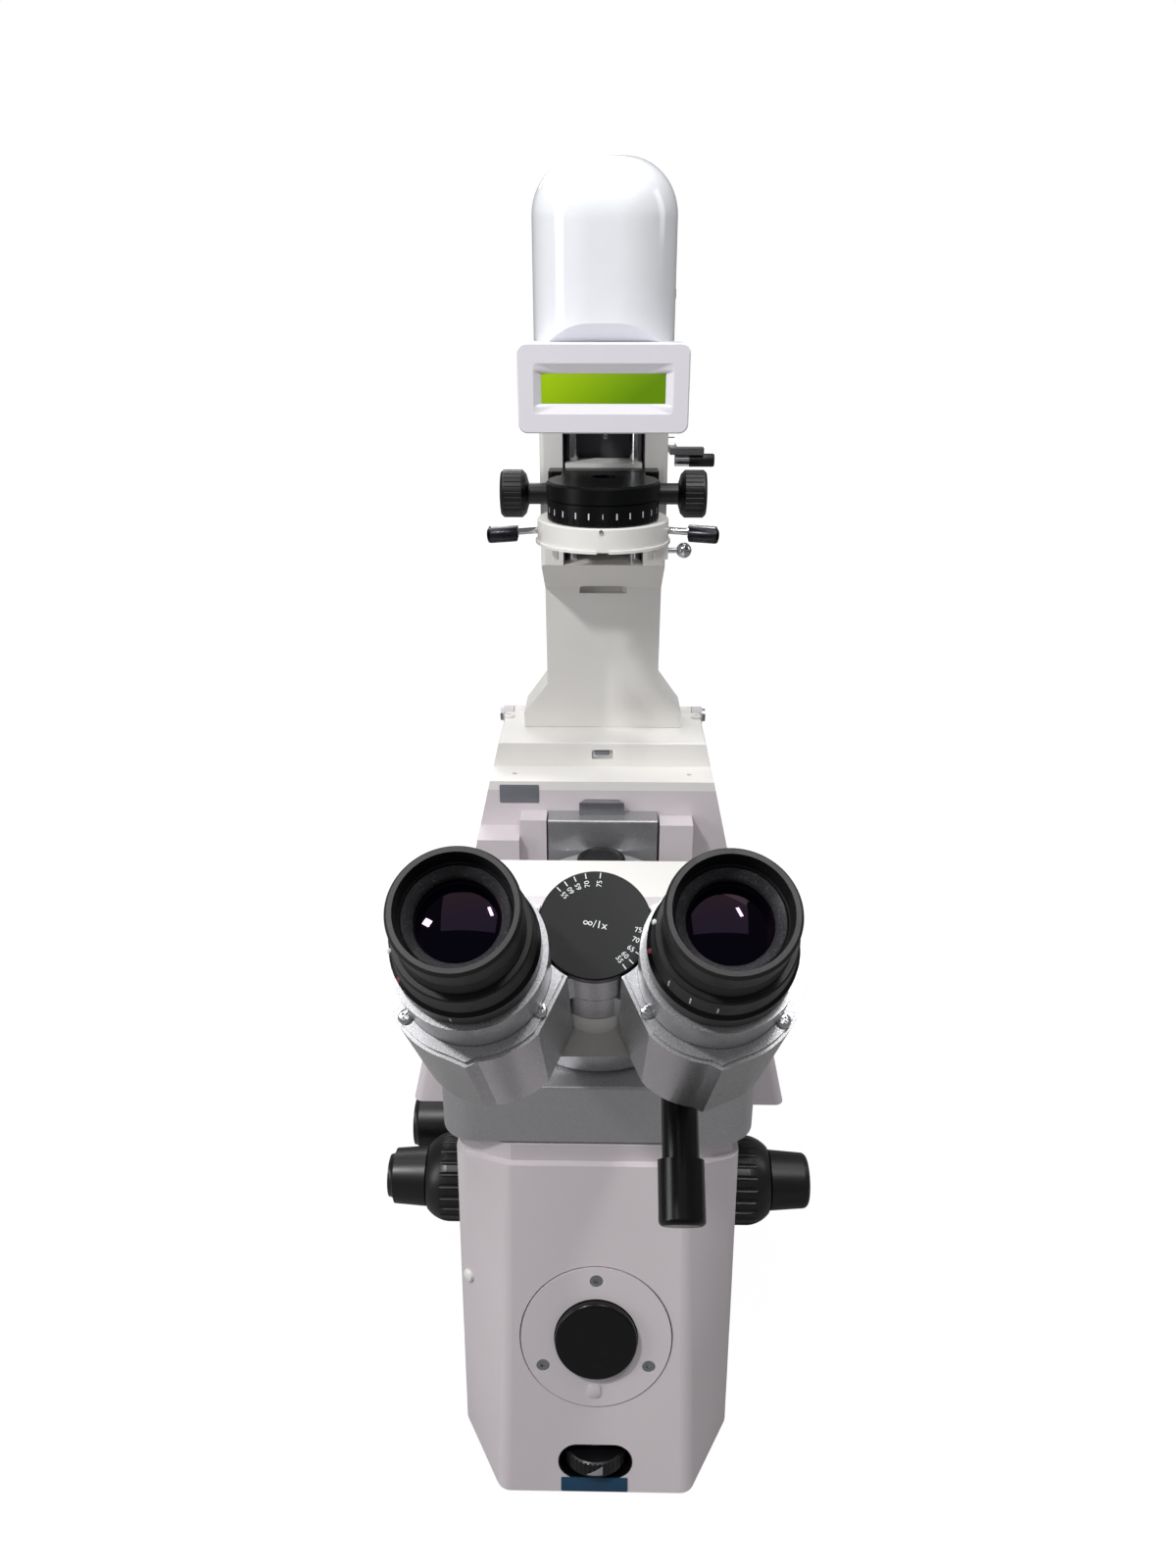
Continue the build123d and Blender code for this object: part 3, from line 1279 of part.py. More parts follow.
with BuildPart() as condenser_carriage:
    with BuildSketch(Plane.XY.offset(plate_low_z)):
        with Locations((0, plate_y)):
            Circle(plate_radius)
        with Locations((0, (plate_y + bearing_rear_y) / 2)):
            Rectangle(2 * bearing_half, bearing_rear_y - plate_y)
    extrude(amount=plate_high_z - plate_low_z)
    chamfer(condenser_carriage.edges().group_by(Axis.Z)[-1].filter_by(GeomType.CIRCLE), 1)
    with BuildSketch(Plane.XY.offset(plate_low_z - 1)):
        with Locations((0, plate_y)):
            Circle(plate_radius + plate_lip)
        with Locations((0, plate_y - plate_radius)):
            SlotOverall(9, 5, mode=Mode.SUBTRACT)
    extrude(amount=2)
    with BuildSketch(Plane.XY.offset(clamp_z - clamp_ball_radius)):
        with Locations((clamp_x - 6, clamp_y)):
            Rectangle(9, 11)
    extrude(amount=plate_low_z - clamp_z + clamp_ball_radius)
    with BuildSketch(Plane.XY.offset(plate_low_z)):
        with Locations((0, (drive_rear_y + bearing_rear_y) / 2)):
            Rectangle(2 * bearing_half, bearing_rear_y - drive_rear_y)
    extrude(amount=bearing_top_z - plate_low_z)
    with BuildSketch(Plane.XY.offset(plate_low_z)):
        for x in (-guide_x, guide_x):
            with Locations((x, guide_y)):
                Circle(guide_radius + run_gap)
    extrude(amount=bearing_top_z, mode=Mode.SUBTRACT)
    with BuildSketch(Plane.XY.offset(plate_low_z - 5)):
        with Locations((0, optic_y)):
            Circle(lens_cell_radius + run_gap)
    extrude(amount=plate_high_z, mode=Mode.SUBTRACT)
    for side in (-1, 1):
        with BuildSketch(centring_plane(side)):
            Circle(centring_stem_radius + run_gap)
        extrude(amount=centring_reach, mode=Mode.SUBTRACT)
    with BuildSketch(sideways(clamp_x + 10)):
        with Locations((clamp_y, clamp_z)):
            Circle(clamp_stem_radius + run_gap)
    extrude(amount=-24, mode=Mode.SUBTRACT)
keep("condenser_carriage", condenser_carriage)

with BuildPart() as condenser_lens:
    with BuildSketch(Plane.XY.offset(plate_low_z - 4)):
        with Locations((0, optic_y)):
            Circle(lens_cell_radius)
            Circle(lens_cell_radius - 4, mode=Mode.SUBTRACT)
    extrude(amount=plate_high_z - plate_low_z + 4)
    with Locations((0, optic_y, plate_low_z - 3)):
        Cylinder(lens_cell_radius - 4 - run_gap, 9, align=(Align.CENTER, Align.CENTER, Align.MIN))
keep("condenser_lens", condenser_lens)

with BuildPart() as condenser_drive_block:
    with BuildSketch(Plane.XY.offset(plate_high_z)):
        with Locations((0, (drive_front_y + drive_rear_y) / 2)):
            Rectangle(2 * drive_half, drive_rear_y - drive_front_y)
    extrude(amount=drive_top_z - plate_high_z)
    fillet(condenser_drive_block.edges().filter_by(Axis.Z).group_by(Axis.Y)[0], 3)
    fillet(condenser_drive_block.edges().group_by(Axis.Z)[-1], 1)
    add(ring_on_x(cross_y, cross_z, -2 * drive_half, 2 * drive_half, cross_radius + run_gap), mode=Mode.SUBTRACT)
keep("condenser_drive_block", condenser_drive_block)

sleeve_start = drive_half + seat_gap
with BuildPart() as condenser_drive_shaft:
    add(ring_on_x(cross_y, cross_z, -height_knob_x - height_knob_length + 4,
                  height_knob_x + height_knob_length - 4, cross_radius))
keep("condenser_drive_shaft", condenser_drive_shaft)


def height_knob(side):
    """One knob of the condenser drive, with the sleeve between it and the drive block."""
    bore = cross_radius + run_gap
    face = height_knob_x - sleeve_start
    end = face + height_knob_length
    with BuildPart() as knob:
        with BuildSketch(Plane(origin=(side * sleeve_start, cross_y, cross_z), x_dir=(side, 0, 0),
                               z_dir=(0, -side, 0))):
            with BuildLine():
                Polyline((0, bore), (0, sleeve_radius), (face - 2, sleeve_radius), (face, height_knob_radius - 3),
                         (face + 3, height_knob_radius), (end - 2, height_knob_radius),
                         (end, height_knob_radius - 2), (end, 0), (end - 4, 0), (end - 4, bore), (0, bore))
            make_face()
        revolve(axis=Axis((0, cross_y, cross_z), (1, 0, 0)))
        with Locations(Plane(origin=(side * (height_knob_x + height_knob_length / 2), cross_y, cross_z),
                             x_dir=(0, 1, 0), z_dir=(1, 0, 0))):
            with PolarLocations(height_knob_radius + 0.4, 30):
                Cylinder(0.9, height_knob_length - 6, mode=Mode.SUBTRACT)
    return knob.part


with BuildPart() as condenser_height_knobs:
    add(height_knob(-1))
    add(height_knob(1))
keep("condenser_height_knobs", condenser_height_knobs)

with BuildPart() as condenser_turret:
    with BuildSketch(Plane.XY.offset(turret_low_z)):
        with Locations((0, condenser_turret_y)):
            Circle(condenser_turret_radius)
            Circle(condenser_pivot_radius + run_gap, mode=Mode.SUBTRACT)
            with PolarLocations(filter_pitch, filter_count, start_angle=90):
                Circle(filter_radius, mode=Mode.SUBTRACT)
    extrude(amount=condenser_turret_height)
    chamfer(condenser_turret.edges().filter_by(GeomType.CIRCLE).sort_by(SortBy.RADIUS)[-2:], 0.6)
    with Locations((0, condenser_turret_y, turret_low_z + 3)):
        with PolarLocations(condenser_turret_radius + 0.4, 48):
            Cylinder(0.8, 5, mode=Mode.SUBTRACT)
keep("condenser_turret", condenser_turret)

with BuildPart() as condenser_turret_cover:
    with BuildSketch(Plane.XY.offset(cover_low_z)):
        with Locations((0, condenser_turret_y)):
            Circle(condenser_turret_radius + 0.5)
        with Locations((0, (condenser_turret_y + drive_front_y) / 2)):
            Rectangle(drive_half + 20, drive_front_y - condenser_turret_y)
    extrude(amount=condenser_cover_height)
    chamfer(condenser_turret_cover.edges().group_by(Axis.Z)[-1].filter_by(GeomType.CIRCLE), 1.5)
    with BuildSketch(Plane.XY.offset(cover_low_z)):
        with Locations((0, optic_y)):
            Circle(filter_radius + 0.5)
    extrude(amount=condenser_cover_height, mode=Mode.SUBTRACT)
    with BuildSketch(Plane.XY.offset(cover_low_z)):
        with Locations((0, condenser_turret_y)):
            Circle(condenser_pivot_radius)
    extrude(amount=-condenser_turret_height)
keep("condenser_turret_cover", condenser_turret_cover)

for side, word in ((-1, "left"), (1, "right")):
    with BuildPart() as centring_screw:
        with BuildSketch(centring_plane(side)):
            Circle(centring_stem_radius)
        extrude(amount=centring_reach)
        with BuildSketch(centring_plane(side).offset(centring_reach)):
            Circle(centring_knob_radius)
        extrude(amount=centring_knob_length)
        fillet(centring_screw.edges().filter_by(GeomType.CIRCLE).sort_by(Axis.X)[:: side][-1:], 1)
    pieces[f"{word}_centring_screw"] = centring_screw.part

with BuildPart() as lens_clamp_screw:
    with BuildSketch(sideways(clamp_x - 12)):
        with Locations((clamp_y, clamp_z)):
            Circle(clamp_stem_radius)
    extrude(amount=clamp_ball_radius + 12)
    with Locations((clamp_x + 2 * clamp_ball_radius - 1, clamp_y, clamp_z)):
        Sphere(clamp_ball_radius)
keep("lens_clamp_screw", lens_clamp_screw)

# Filter lever: a short shaft in the column's side, a flat arm and a round handle
lever_face = column_half + 2
lever_end = lever_face + 26
with BuildPart() as filter_lever:
    add(ring_on_x(lever_y, lever_z, column_half - lever_shaft_depth + 1, lever_face + 4, lever_shaft_radius))
    with BuildSketch(sideways(lever_face)):
        with Locations((lever_y, lever_z)):
            Circle(lever_arm_width / 2)
        with Locations((lever_y - lever_reach / 2, lever_z)):
            Rectangle(lever_reach, 5)
    extrude(amount=lever_arm_width / 2)
    with BuildSketch(Plane.XY.offset(lever_z - 2.5)):
        with Locations(((lever_face + lever_end) / 2, lever_y - lever_reach)):
            Rectangle(lever_end - lever_face, lever_arm_width)
    extrude(amount=5)
    add(ring_on_x(lever_y - lever_reach, lever_z - 2.5 - lever_handle_radius, lever_face + 4, lever_end + 8,
                  lever_handle_radius))
keep("filter_lever", filter_lever)

os.makedirs("parts", exist_ok=True)
for name, piece in pieces.items():
    piece.label = name
    export_step(piece, f"parts/{name}.step")
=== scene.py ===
from math import acos, cos, pi, radians, sin, tan

import bmesh
import bpy
from mathutils import Matrix, Vector


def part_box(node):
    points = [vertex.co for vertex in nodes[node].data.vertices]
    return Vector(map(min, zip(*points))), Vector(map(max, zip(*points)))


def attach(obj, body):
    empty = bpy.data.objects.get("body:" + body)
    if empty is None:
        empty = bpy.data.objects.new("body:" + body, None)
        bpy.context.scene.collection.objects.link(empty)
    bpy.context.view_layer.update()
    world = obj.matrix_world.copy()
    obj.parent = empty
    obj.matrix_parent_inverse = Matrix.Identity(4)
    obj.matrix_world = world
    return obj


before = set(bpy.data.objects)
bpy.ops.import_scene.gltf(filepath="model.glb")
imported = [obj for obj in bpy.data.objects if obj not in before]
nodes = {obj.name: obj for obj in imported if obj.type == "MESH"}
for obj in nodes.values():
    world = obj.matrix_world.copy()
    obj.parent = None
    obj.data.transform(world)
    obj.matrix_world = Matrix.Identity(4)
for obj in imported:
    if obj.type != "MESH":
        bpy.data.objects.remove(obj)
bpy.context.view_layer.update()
scene = bpy.context.scene
scene.view_settings.view_transform = "Standard"
MM = 0.001


# Table top: a matt white laminate. The camera sees it as plain white, as in a cut-out picture, and only
# a soft grey contact shadow is left; what it throws back up is kept low, so the front stays in shade.
def linear(code):
    """Turn an sRGB hex colour into the linear values that a shader takes."""
    parts = [int(code[i:i + 2], 16) / 255 for i in (1, 3, 5)]
    return [p / 12.92 if p <= 0.04045 else ((p + 0.055) / 1.055) ** 2.4 for p in parts] + [1.0]


def node(tree, kind, settings=None, **inputs):
    """Add one shader node; an input is named, or i and its number, and takes a value or an output."""
    made = tree.nodes.new(kind)
    for name, value in (settings or {}).items():
        setattr(made, name, value)
    for name, value in inputs.items():
        numbered = name[0] == "i" and name[1:].isdigit()
        socket = made.inputs[int(name[1:])] if numbered else made.inputs[name.replace("_", " ")]
        if isinstance(value, bpy.types.NodeSocket):
            tree.links.new(value, socket)
        else:
            socket.default_value = value
    return made


def finish(name):
    """Start a material: its node tree, its shader, and the object's own coordinates in metres."""
    material = bpy.data.materials.new(name)
    material.use_nodes = True
    tree = material.node_tree
    place = tree.nodes.new("ShaderNodeTexCoord").outputs["Object"]
    return material, tree, tree.nodes["Principled BSDF"], place


laminate, tree, shader, place = finish("matt white laminate")
shader.inputs["Base Color"].default_value = linear("#868686")
shader.inputs["Roughness"].default_value = 0.8
plain_white = node(tree, "ShaderNodeEmission", Color=linear("#FFFFFF"), Strength=1.09)
path = node(tree, "ShaderNodeLightPath")
seen = node(tree, "ShaderNodeMath", {"operation": "MAXIMUM"}, i0=path.outputs["Is Camera Ray"],
            i1=path.outputs["Is Transmission Ray"])
reach = node(tree, "ShaderNodeVectorMath", {"operation": "LENGTH"}, i0=place)
plainer = node(tree, "ShaderNodeMapRange", Value=reach.outputs["Value"], From_Min=0.3, From_Max=0.8,
               To_Min=0.9, To_Max=1.0)
share = node(tree, "ShaderNodeMath", {"operation": "MULTIPLY"}, i0=seen.outputs[0], i1=plainer.outputs[0])
blend = node(tree, "ShaderNodeMixShader", i0=share.outputs[0], i1=shader.outputs[0], i2=plain_white.outputs[0])
tree.links.new(blend.outputs[0], tree.nodes["Material Output"].inputs["Surface"])
table_mesh = bpy.data.meshes.new("table_top")
table_mesh.from_pydata([(-9, -9, 0), (9, -9, 0), (9, 9, 0), (-9, 9, 0)], [], [(0, 1, 2, 3)])
table_mesh.materials.append(laminate)
table_top = bpy.data.objects.new("table_top", table_mesh)
scene.collection.objects.link(table_top)

# Room light: a plain white surround for the camera, dimmer for everything else, and soft lamps. The main
# one stands high in front on the left, so the head is bright, and the stand's right side falls into shade.
surround = bpy.data.worlds.new("studio surround")
scene.world = surround
surround.use_nodes = True
tree = surround.node_tree
path = node(tree, "ShaderNodeLightPath")
seen = node(tree, "ShaderNodeMath", {"operation": "MAXIMUM"}, i0=path.outputs["Is Camera Ray"],
            i1=path.outputs["Is Transmission Ray"])
strength = node(tree, "ShaderNodeMapRange", Value=seen.outputs[0], To_Min=0.22, To_Max=1.0)
tree.links.new(strength.outputs["Result"], tree.nodes["Background"].inputs["Strength"])
tree.nodes["Background"].inputs["Color"].default_value = linear("#FFFFFF")
for name, spot, target, size, watts in (
        ("ceiling_softbox", (0.1, 0.35, 2.3), (0, 0.15, 0.2), (1.8, 1.2), 16),
        ("main_softbox", (-0.78, -0.85, 1.7), (0, 0.1, 0.5), (0.16, 0.13), 16),
        ("second_softbox", (0.38, -0.7, 1.9), (0, 0.1, 0.5), (0.06, 0.2), 7),
        ("front_softbox", (0.0, -0.8, 2.2), (0, -0.1, 0.5), (1.3, 1.0), 6),
        ("left_softbox", (-1.6, -0.7, 0.8), (0, 0.0, 0.4), (0.5, 1.0), 8),
        ("right_softbox", (1.5, 0.2, 1.2), (0, 0.1, 0.5), (0.4, 1.0), 3),
        ("back_softbox", (-0.4, 1.6, 1.5), (0, 0.2, 0.4), (0.9, 0.7), 9)):
    light = bpy.data.lights.new(name, "AREA")
    light.shape = "RECTANGLE"
    light.size, light.size_y = size
    light.energy = watts
    lamp = bpy.data.objects.new(name, light)
    lamp.location = spot
    lamp.rotation_euler = (Vector(target) - Vector(spot)).to_track_quat("-Z", "Y").to_euler()
    scene.collection.objects.link(lamp)

# Camera: stands close in front of the eyepieces and looks down over them, as the photographer did.
camera_data = bpy.data.cameras.new("photo_camera")
camera_data.lens = 24.95
camera_data.clip_start = 0.01
camera = bpy.data.objects.new("photo_camera", camera_data)
camera.location = (0.003, -0.6405, 0.610)
camera.rotation_euler = (radians(66.5), 0, radians(1.0))
scene.collection.objects.link(camera)
scene.camera = camera


# Feet and base plate: four turned rubber feet under a rolled steel plate that closes the stand. Pan-head
# screws hold the plate, and the rubber is dull black with grey dust worked into it.
def paint(material, *names):
    """Give CAD nodes one finish."""
    for name in names:
        slots = nodes[name].data.materials
        slots.clear()
        slots.append(material)


def standing_at(origin, outward, along=(1, 0, 0)):
    """A place in mm whose z axis points out of a surface and whose x axis runs along it."""
    z = Vector(outward).normalized()
    x = (Vector(along) - Vector(along).dot(z) * z).normalized()
    made = Matrix((x, z.cross(x), z)).transposed().to_4x4()
    made.translation = Vector(origin)
    return made


def piece(name, shape, material, body):
    """Turn mesh code in mm into an object with its finish, riding on a body."""
    bmesh.ops.recalc_face_normals(shape, faces=shape.faces)
    bmesh.ops.scale(shape, vec=(MM, MM, MM), verts=shape.verts)
    mesh = bpy.data.meshes.new(name)
    shape.to_mesh(mesh)
    shape.free()
    mesh.polygons.foreach_set("use_smooth", [True] * len(mesh.polygons))
    mesh.set_sharp_from_angle(angle=radians(35))
    mesh.materials.append(material)
    made = bpy.data.objects.new(name, mesh)
    scene.collection.objects.link(made)
    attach(made, body)
    return made


def turned(shape, profile, place, steps=48, ribs=0.0):
    """Turn a half profile of (radius, height) about a place's z axis; ribs cut every other step in."""
    rows = []
    for radius, height in profile:
        if radius:
            rows.append([shape.verts.new(place @ Vector((
                (radius - ribs * (k % 2)) * cos(2 * pi * k / steps),
                (radius - ribs * (k % 2)) * sin(2 * pi * k / steps), height))) for k in range(steps)])
        else:
            rows.append([shape.verts.new(place @ Vector((0, 0, height)))] * steps)
    for low, high in zip(rows, rows[1:]):
        for k in range(steps):
            ends = [low[k], low[k - steps + 1], high[k - steps + 1], high[k]]
            shape.faces.new(list(dict.fromkeys(ends)))


def cross_head(shape, radius, height, place):
    """A pan head with a cross recess, sitting on the place's plane."""
    rows = []
    for share, level in ((1.0, 0.0), (1.0, 0.5), (0.88, 0.85), (0.66, 1.0)):
        rows.append([shape.verts.new(place @ Vector((
            share * radius * cos(pi * k / 12), share * radius * sin(pi * k / 12), level * height)))
            for k in range(24)])
    for low, high in zip(rows, rows[1:]):
        for k in range(24):
            shape.faces.new((low[k], low[k - 23], high[k - 23], high[k]))
    shape.faces.new(rows[0])
    arm, half = 0.5 * radius, 0.13 * radius
    corner = [(arm, -half), (arm, half), (half, half), (half, arm), (-half, arm), (-half, half), (-arm, half),
              (-arm, -half), (-half, -half), (-half, -arm), (half, -arm), (half, -half)]
    rim = [shape.verts.new(place @ Vector((x, y, height))) for x, y in corner]
    pit = [shape.verts.new(place @ Vector((0.75 * x, 0.75 * y, 0.3 * height))) for x, y in corner]
    edges = [shape.edges.new((rim[k - 1], rim[k])) for k in range(12)]
    edges += [shape.edges.get((rows[-1][k - 1], rows[-1][k])) for k in range(24)]
    bmesh.ops.triangle_fill(shape, edges=edges, use_beauty=True)
    for k in range(12):
        shape.faces.new((rim[k - 1], rim[k], pit[k], pit[k - 1]))
    shape.faces.new(pit)


black_rubber, tree, shader, place = finish("dusty black rubber")
speck_mm, cloud_mm = 0.45, 6.0
speck = node(tree, "ShaderNodeTexNoise", Vector=place, Scale=1000 / speck_mm, Detail=3.0)
cloud = node(tree, "ShaderNodeTexNoise", Vector=place, Scale=1000 / cloud_mm, Detail=4.0)
dust = node(tree, "ShaderNodeMapRange", Value=speck.outputs["Fac"], From_Min=0.66, From_Max=0.78)
tone = node(tree, "ShaderNodeMix", {"data_type": "RGBA"}, i0=cloud.outputs["Fac"], i6=linear("#050506"),
            i7=linear("#0D0D0F"))
dusty = node(tree, "ShaderNodeMix", {"data_type": "RGBA"}, i0=dust.outputs[0], i6=tone.outputs[2],
             i7=linear("#3A3A3E"))
dull = node(tree, "ShaderNodeMapRange", Value=cloud.outputs["Fac"], To_Min=0.38, To_Max=0.58)
pores = node(tree, "ShaderNodeBump", Strength=0.2, Distance=0.0001, Height=speck.outputs["Fac"])
tree.links.new(dusty.outputs[2], shader.inputs["Base Color"])
tree.links.new(dull.outputs[0], shader.inputs["Roughness"])
tree.links.new(pores.outputs[0], shader.inputs["Normal"])
paint(black_rubber, "rubber_feet", "left_diopter_ring", "right_diopter_ring")

rolled_steel, tree, shader, place = finish("brushed steel")
brush_mm = 1.2
across = node(tree, "ShaderNodeMapping", Vector=place, Scale=(1.0, 0.08, 1.0))
brush = node(tree, "ShaderNodeTexNoise", Vector=across.outputs[0], Scale=1000 / brush_mm, Detail=4.0)
satin = node(tree, "ShaderNodeMapRange", Value=brush.outputs["Fac"], To_Min=0.22, To_Max=0.46)
tone = node(tree, "ShaderNodeMix", {"data_type": "RGBA"}, i0=brush.outputs["Fac"], i6=linear("#8E8F93"),
            i7=linear("#B7B8BB"))
shader.inputs["Metallic"].default_value = 1.0
tree.links.new(tone.outputs[2], shader.inputs["Base Color"])
tree.links.new(satin.outputs[0], shader.inputs["Roughness"])
paint(rolled_steel, "base_plate", "front_port_screws", "coarse_focus_shaft", "fine_focus_shaft",
      "nosepiece_rail", "carrier_hinge_pin")
base_screws = bmesh.new()
for x in (-58, 58):
    for y in (-60, 80, 220):
        cross_head(base_screws, 4.0, 2.4, standing_at((x, y, 4.0), (0, 0, -1)))
piece("base_plate_screws", base_screws, rolled_steel, "stand")

# Stand and its covers: aluminium castings, filled and sprayed with a warm off-white structure enamel. It
# has a fine orange peel, a slight mauve tone in the shade and faint yellowing in soft patches.
structure_enamel, tree, shader, place = finish("warm white structure enamel")
peel_mm, patch_mm = 0.7, 110.0
peel = node(tree, "ShaderNodeTexNoise", Vector=place, Scale=1000 / peel_mm, Detail=2.0, Roughness=0.5)
patch = node(tree, "ShaderNodeTexNoise", Vector=place, Scale=1000 / patch_mm, Detail=3.0, Roughness=0.55)
tone = node(tree, "ShaderNodeMix", {"data_type": "RGBA"}, i0=patch.outputs["Fac"], i6=linear("#EEECEA"),
            i7=linear("#E3E1DD"))
satin = node(tree, "ShaderNodeMapRange", Value=peel.outputs["Fac"], To_Min=0.34, To_Max=0.5)
bump = node(tree, "ShaderNodeBump", Strength=0.12, Distance=0.0001, Height=peel.outputs["Fac"])
tree.links.new(tone.outputs[2], shader.inputs["Base Color"])
tree.links.new(satin.outputs[0], shader.inputs["Roughness"])
tree.links.new(bump.outputs[0], shader.inputs["Normal"])
paint(structure_enamel, "front_stage_support", "rear_stage_support", "rear_deck_cover", "tube_neck",
      "carrier_column", "head_arm", "condenser_carriage")

# The stand's coat is painted a shade greyer and pinker than the carrier's enamel. This is painted shade,
# for the shade that the stand's front stands in.
shaded_stand_enamel, tree, shader, place = finish("shade-darkened white structure enamel")
peel = node(tree, "ShaderNodeTexNoise", Vector=place, Scale=1000 / peel_mm, Detail=2.0, Roughness=0.5)
patch = node(tree, "ShaderNodeTexNoise", Vector=place, Scale=1000 / patch_mm, Detail=3.0, Roughness=0.55)
tone = node(tree, "ShaderNodeMix", {"data_type": "RGBA"}, i0=patch.outputs["Fac"], i6=linear("#D8D0D5"),
            i7=linear("#CCC6C9"))
satin = node(tree, "ShaderNodeMapRange", Value=peel.outputs["Fac"], To_Min=0.32, To_Max=0.46)
bump = node(tree, "ShaderNodeBump", Strength=0.12, Distance=0.0001, Height=peel.outputs["Fac"])
tree.links.new(tone.outputs[2], shader.inputs["Base Color"])
tree.links.new(satin.outputs[0], shader.inputs["Roughness"])
tree.links.new(bump.outputs[0], shader.inputs["Normal"])
paint(shaded_stand_enamel, "stand_casting", "front_port_cover")

# Plug in the left corner facet: a push-in ABS button that hides a fixing screw.
facet_plug = bmesh.new()
turned(facet_plug, [(0, -1), (3.6, -1), (3.6, 0.8), (3.0, 1.7), (1.8, 2.1), (0, 2.2)],
       standing_at((-71.5, -191.5, 113.3), (-0.649, -0.755, 0.095), (0, 0, 1)), steps=32)
piece("facet_plug", facet_plug, structure_enamel, "stand")

# Front port: a push-in cap of glossy black plastic in an enamelled ring cover. Below the cap the cover
# has a small key, cast on and painted over, where a blade goes in to lever the cap off.
PANEL_LEAN = radians(15.255)


def on_panel(x, z, proud=0.0):
    """A place on the leaning front panel, x mm across and z mm above the table."""
    out = Vector((0, -cos(PANEL_LEAN), sin(PANEL_LEAN)))
    return standing_at(Vector((x, -240.5 + (z - 4) * tan(PANEL_LEAN), z)) + proud * out, out)


def rounded(width, height, radius, steps=6):
    """Outline of a rectangle with round corners, about its middle."""
    outline = []
    for k, (sx, sy) in enumerate(((1, 1), (-1, 1), (-1, -1), (1, -1))):
        for step in range(steps + 1):
            angle = (k + step / steps) * pi / 2
            outline.append((sx * (width / 2 - radius) + radius * cos(angle),
                            sy * (height / 2 - radius) + radius * sin(angle)))
    return outline


def slab(shape, outline, low, high, place, soft=0.0):
    """Raise an outline of (x, y) from one height to another, with its upper edge rounded by soft."""
    foot = [shape.verts.new(place @ Vector((x, y, low))) for x, y in outline]
    top = [shape.verts.new(place @ Vector((x, y, high))) for x, y in outline]
    shape.faces.new(foot[::-1])
    face = shape.faces.new(top)
    for k in range(len(outline)):
        shape.faces.new((foot[k - 1], foot[k], top[k], top[k - 1]))
    if soft:
        bmesh.ops.bevel(shape, geom=list(face.edges), offset=soft, segments=2, affect="EDGES", profile=0.5)


gloss_plastic, tree, shader, place = finish("glossy black polystyrene")
haze_mm = 9.0
smear = node(tree, "ShaderNodeTexNoise", Vector=place, Scale=1000 / haze_mm, Detail=4.0)
haze = node(tree, "ShaderNodeMapRange", Value=smear.outputs["Fac"], To_Min=0.16, To_Max=0.34)
tone = node(tree, "ShaderNodeMix", {"data_type": "RGBA"}, i0=smear.outputs["Fac"], i6=linear("#020203"),
            i7=linear("#060608"))
shader.inputs["Specular IOR Level"].default_value = 0.35
tree.links.new(tone.outputs[2], shader.inputs["Base Color"])
tree.links.new(haze.outputs[0], shader.inputs["Roughness"])
paint(gloss_plastic, "front_port_cap", "tube_selector_rod")
cap_key = bmesh.new()
slab(cap_key, rounded(7.0, 7.5, 1.6), 0.3, 1.3, on_panel(-1.0, 64.5), soft=0.4)
piece("cap_lever_key", cap_key, shaded_stand_enamel, "stand")

# Brightness wheel: black ABS, knurled, on edge in its slot. A grey wedge is printed round its rim to
# show which way the light gets brighter.
black_abs, tree, shader, place = finish("moulded black ABS")
grain_mm = 0.8
grain = node(tree, "ShaderNodeTexNoise", Vector=place, Scale=1000 / grain_mm, Detail=2.0)
cloud = node(tree, "ShaderNodeTexNoise", Vector=place, Scale=1000 / 25.0, Detail=4.0)
tone = node(tree, "ShaderNodeMix", {"data_type": "RGBA"}, i0=cloud.outputs["Fac"], i6=linear("#060608"),
            i7=linear("#0E0E11"))
satin = node(tree, "ShaderNodeMapRange", Value=cloud.outputs["Fac"], To_Min=0.28, To_Max=0.45)
bump = node(tree, "ShaderNodeBump", Strength=0.14, Distance=0.0001, Height=grain.outputs["Fac"])
tree.links.new(tone.outputs[2], shader.inputs["Base Color"])
tree.links.new(satin.outputs[0], shader.inputs["Roughness"])
tree.links.new(bump.outputs[0], shader.inputs["Normal"])
paint(black_abs, "side_port_cover", "power_inlet_panel", "power_rocker", "brightness_wheel",
      "coarse_focus_knobs", "fine_focus_knobs", "port_selector_knob", "objective_dust_caps",
      "condenser_height_knobs", "lamp_housing")

grey_ink, tree, shader, place = finish("grey screen-printed ink")
worn = node(tree, "ShaderNodeTexNoise", Vector=place, Scale=1000 / 0.9, Detail=3.0)
tone = node(tree, "ShaderNodeMix", {"data_type": "RGBA"}, i0=worn.outputs["Fac"], i6=linear("#77797F"),
            i7=linear("#9B9DA3"))
tree.links.new(tone.outputs[2], shader.inputs["Base Color"])
shader.inputs["Roughness"].default_value = 0.6
WHEEL_RIM = 17.0
wheel_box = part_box("brightness_wheel")
wheel_centre = (Vector(wheel_box[0]) + Vector(wheel_box[1])) / 2 / MM
wheel_place = standing_at(wheel_centre, (0, sin(PANEL_LEAN), cos(PANEL_LEAN)))
wedge = bmesh.new()
wedge_rows = []
for k in range(13):
    angle = radians(-90 - 16 + 30 * k / 12)
    for low, high in ((-2.6, -2.6 + 5.2 * (k + 0.4) / 12.4),):
        wedge_rows.append([wedge.verts.new(wheel_place @ Vector((r * cos(angle), r * sin(angle), h)))
                           for r, h in ((WHEEL_RIM, low), (WHEEL_RIM + 0.1, low), (WHEEL_RIM + 0.1, high),
                                        (WHEEL_RIM, high))])
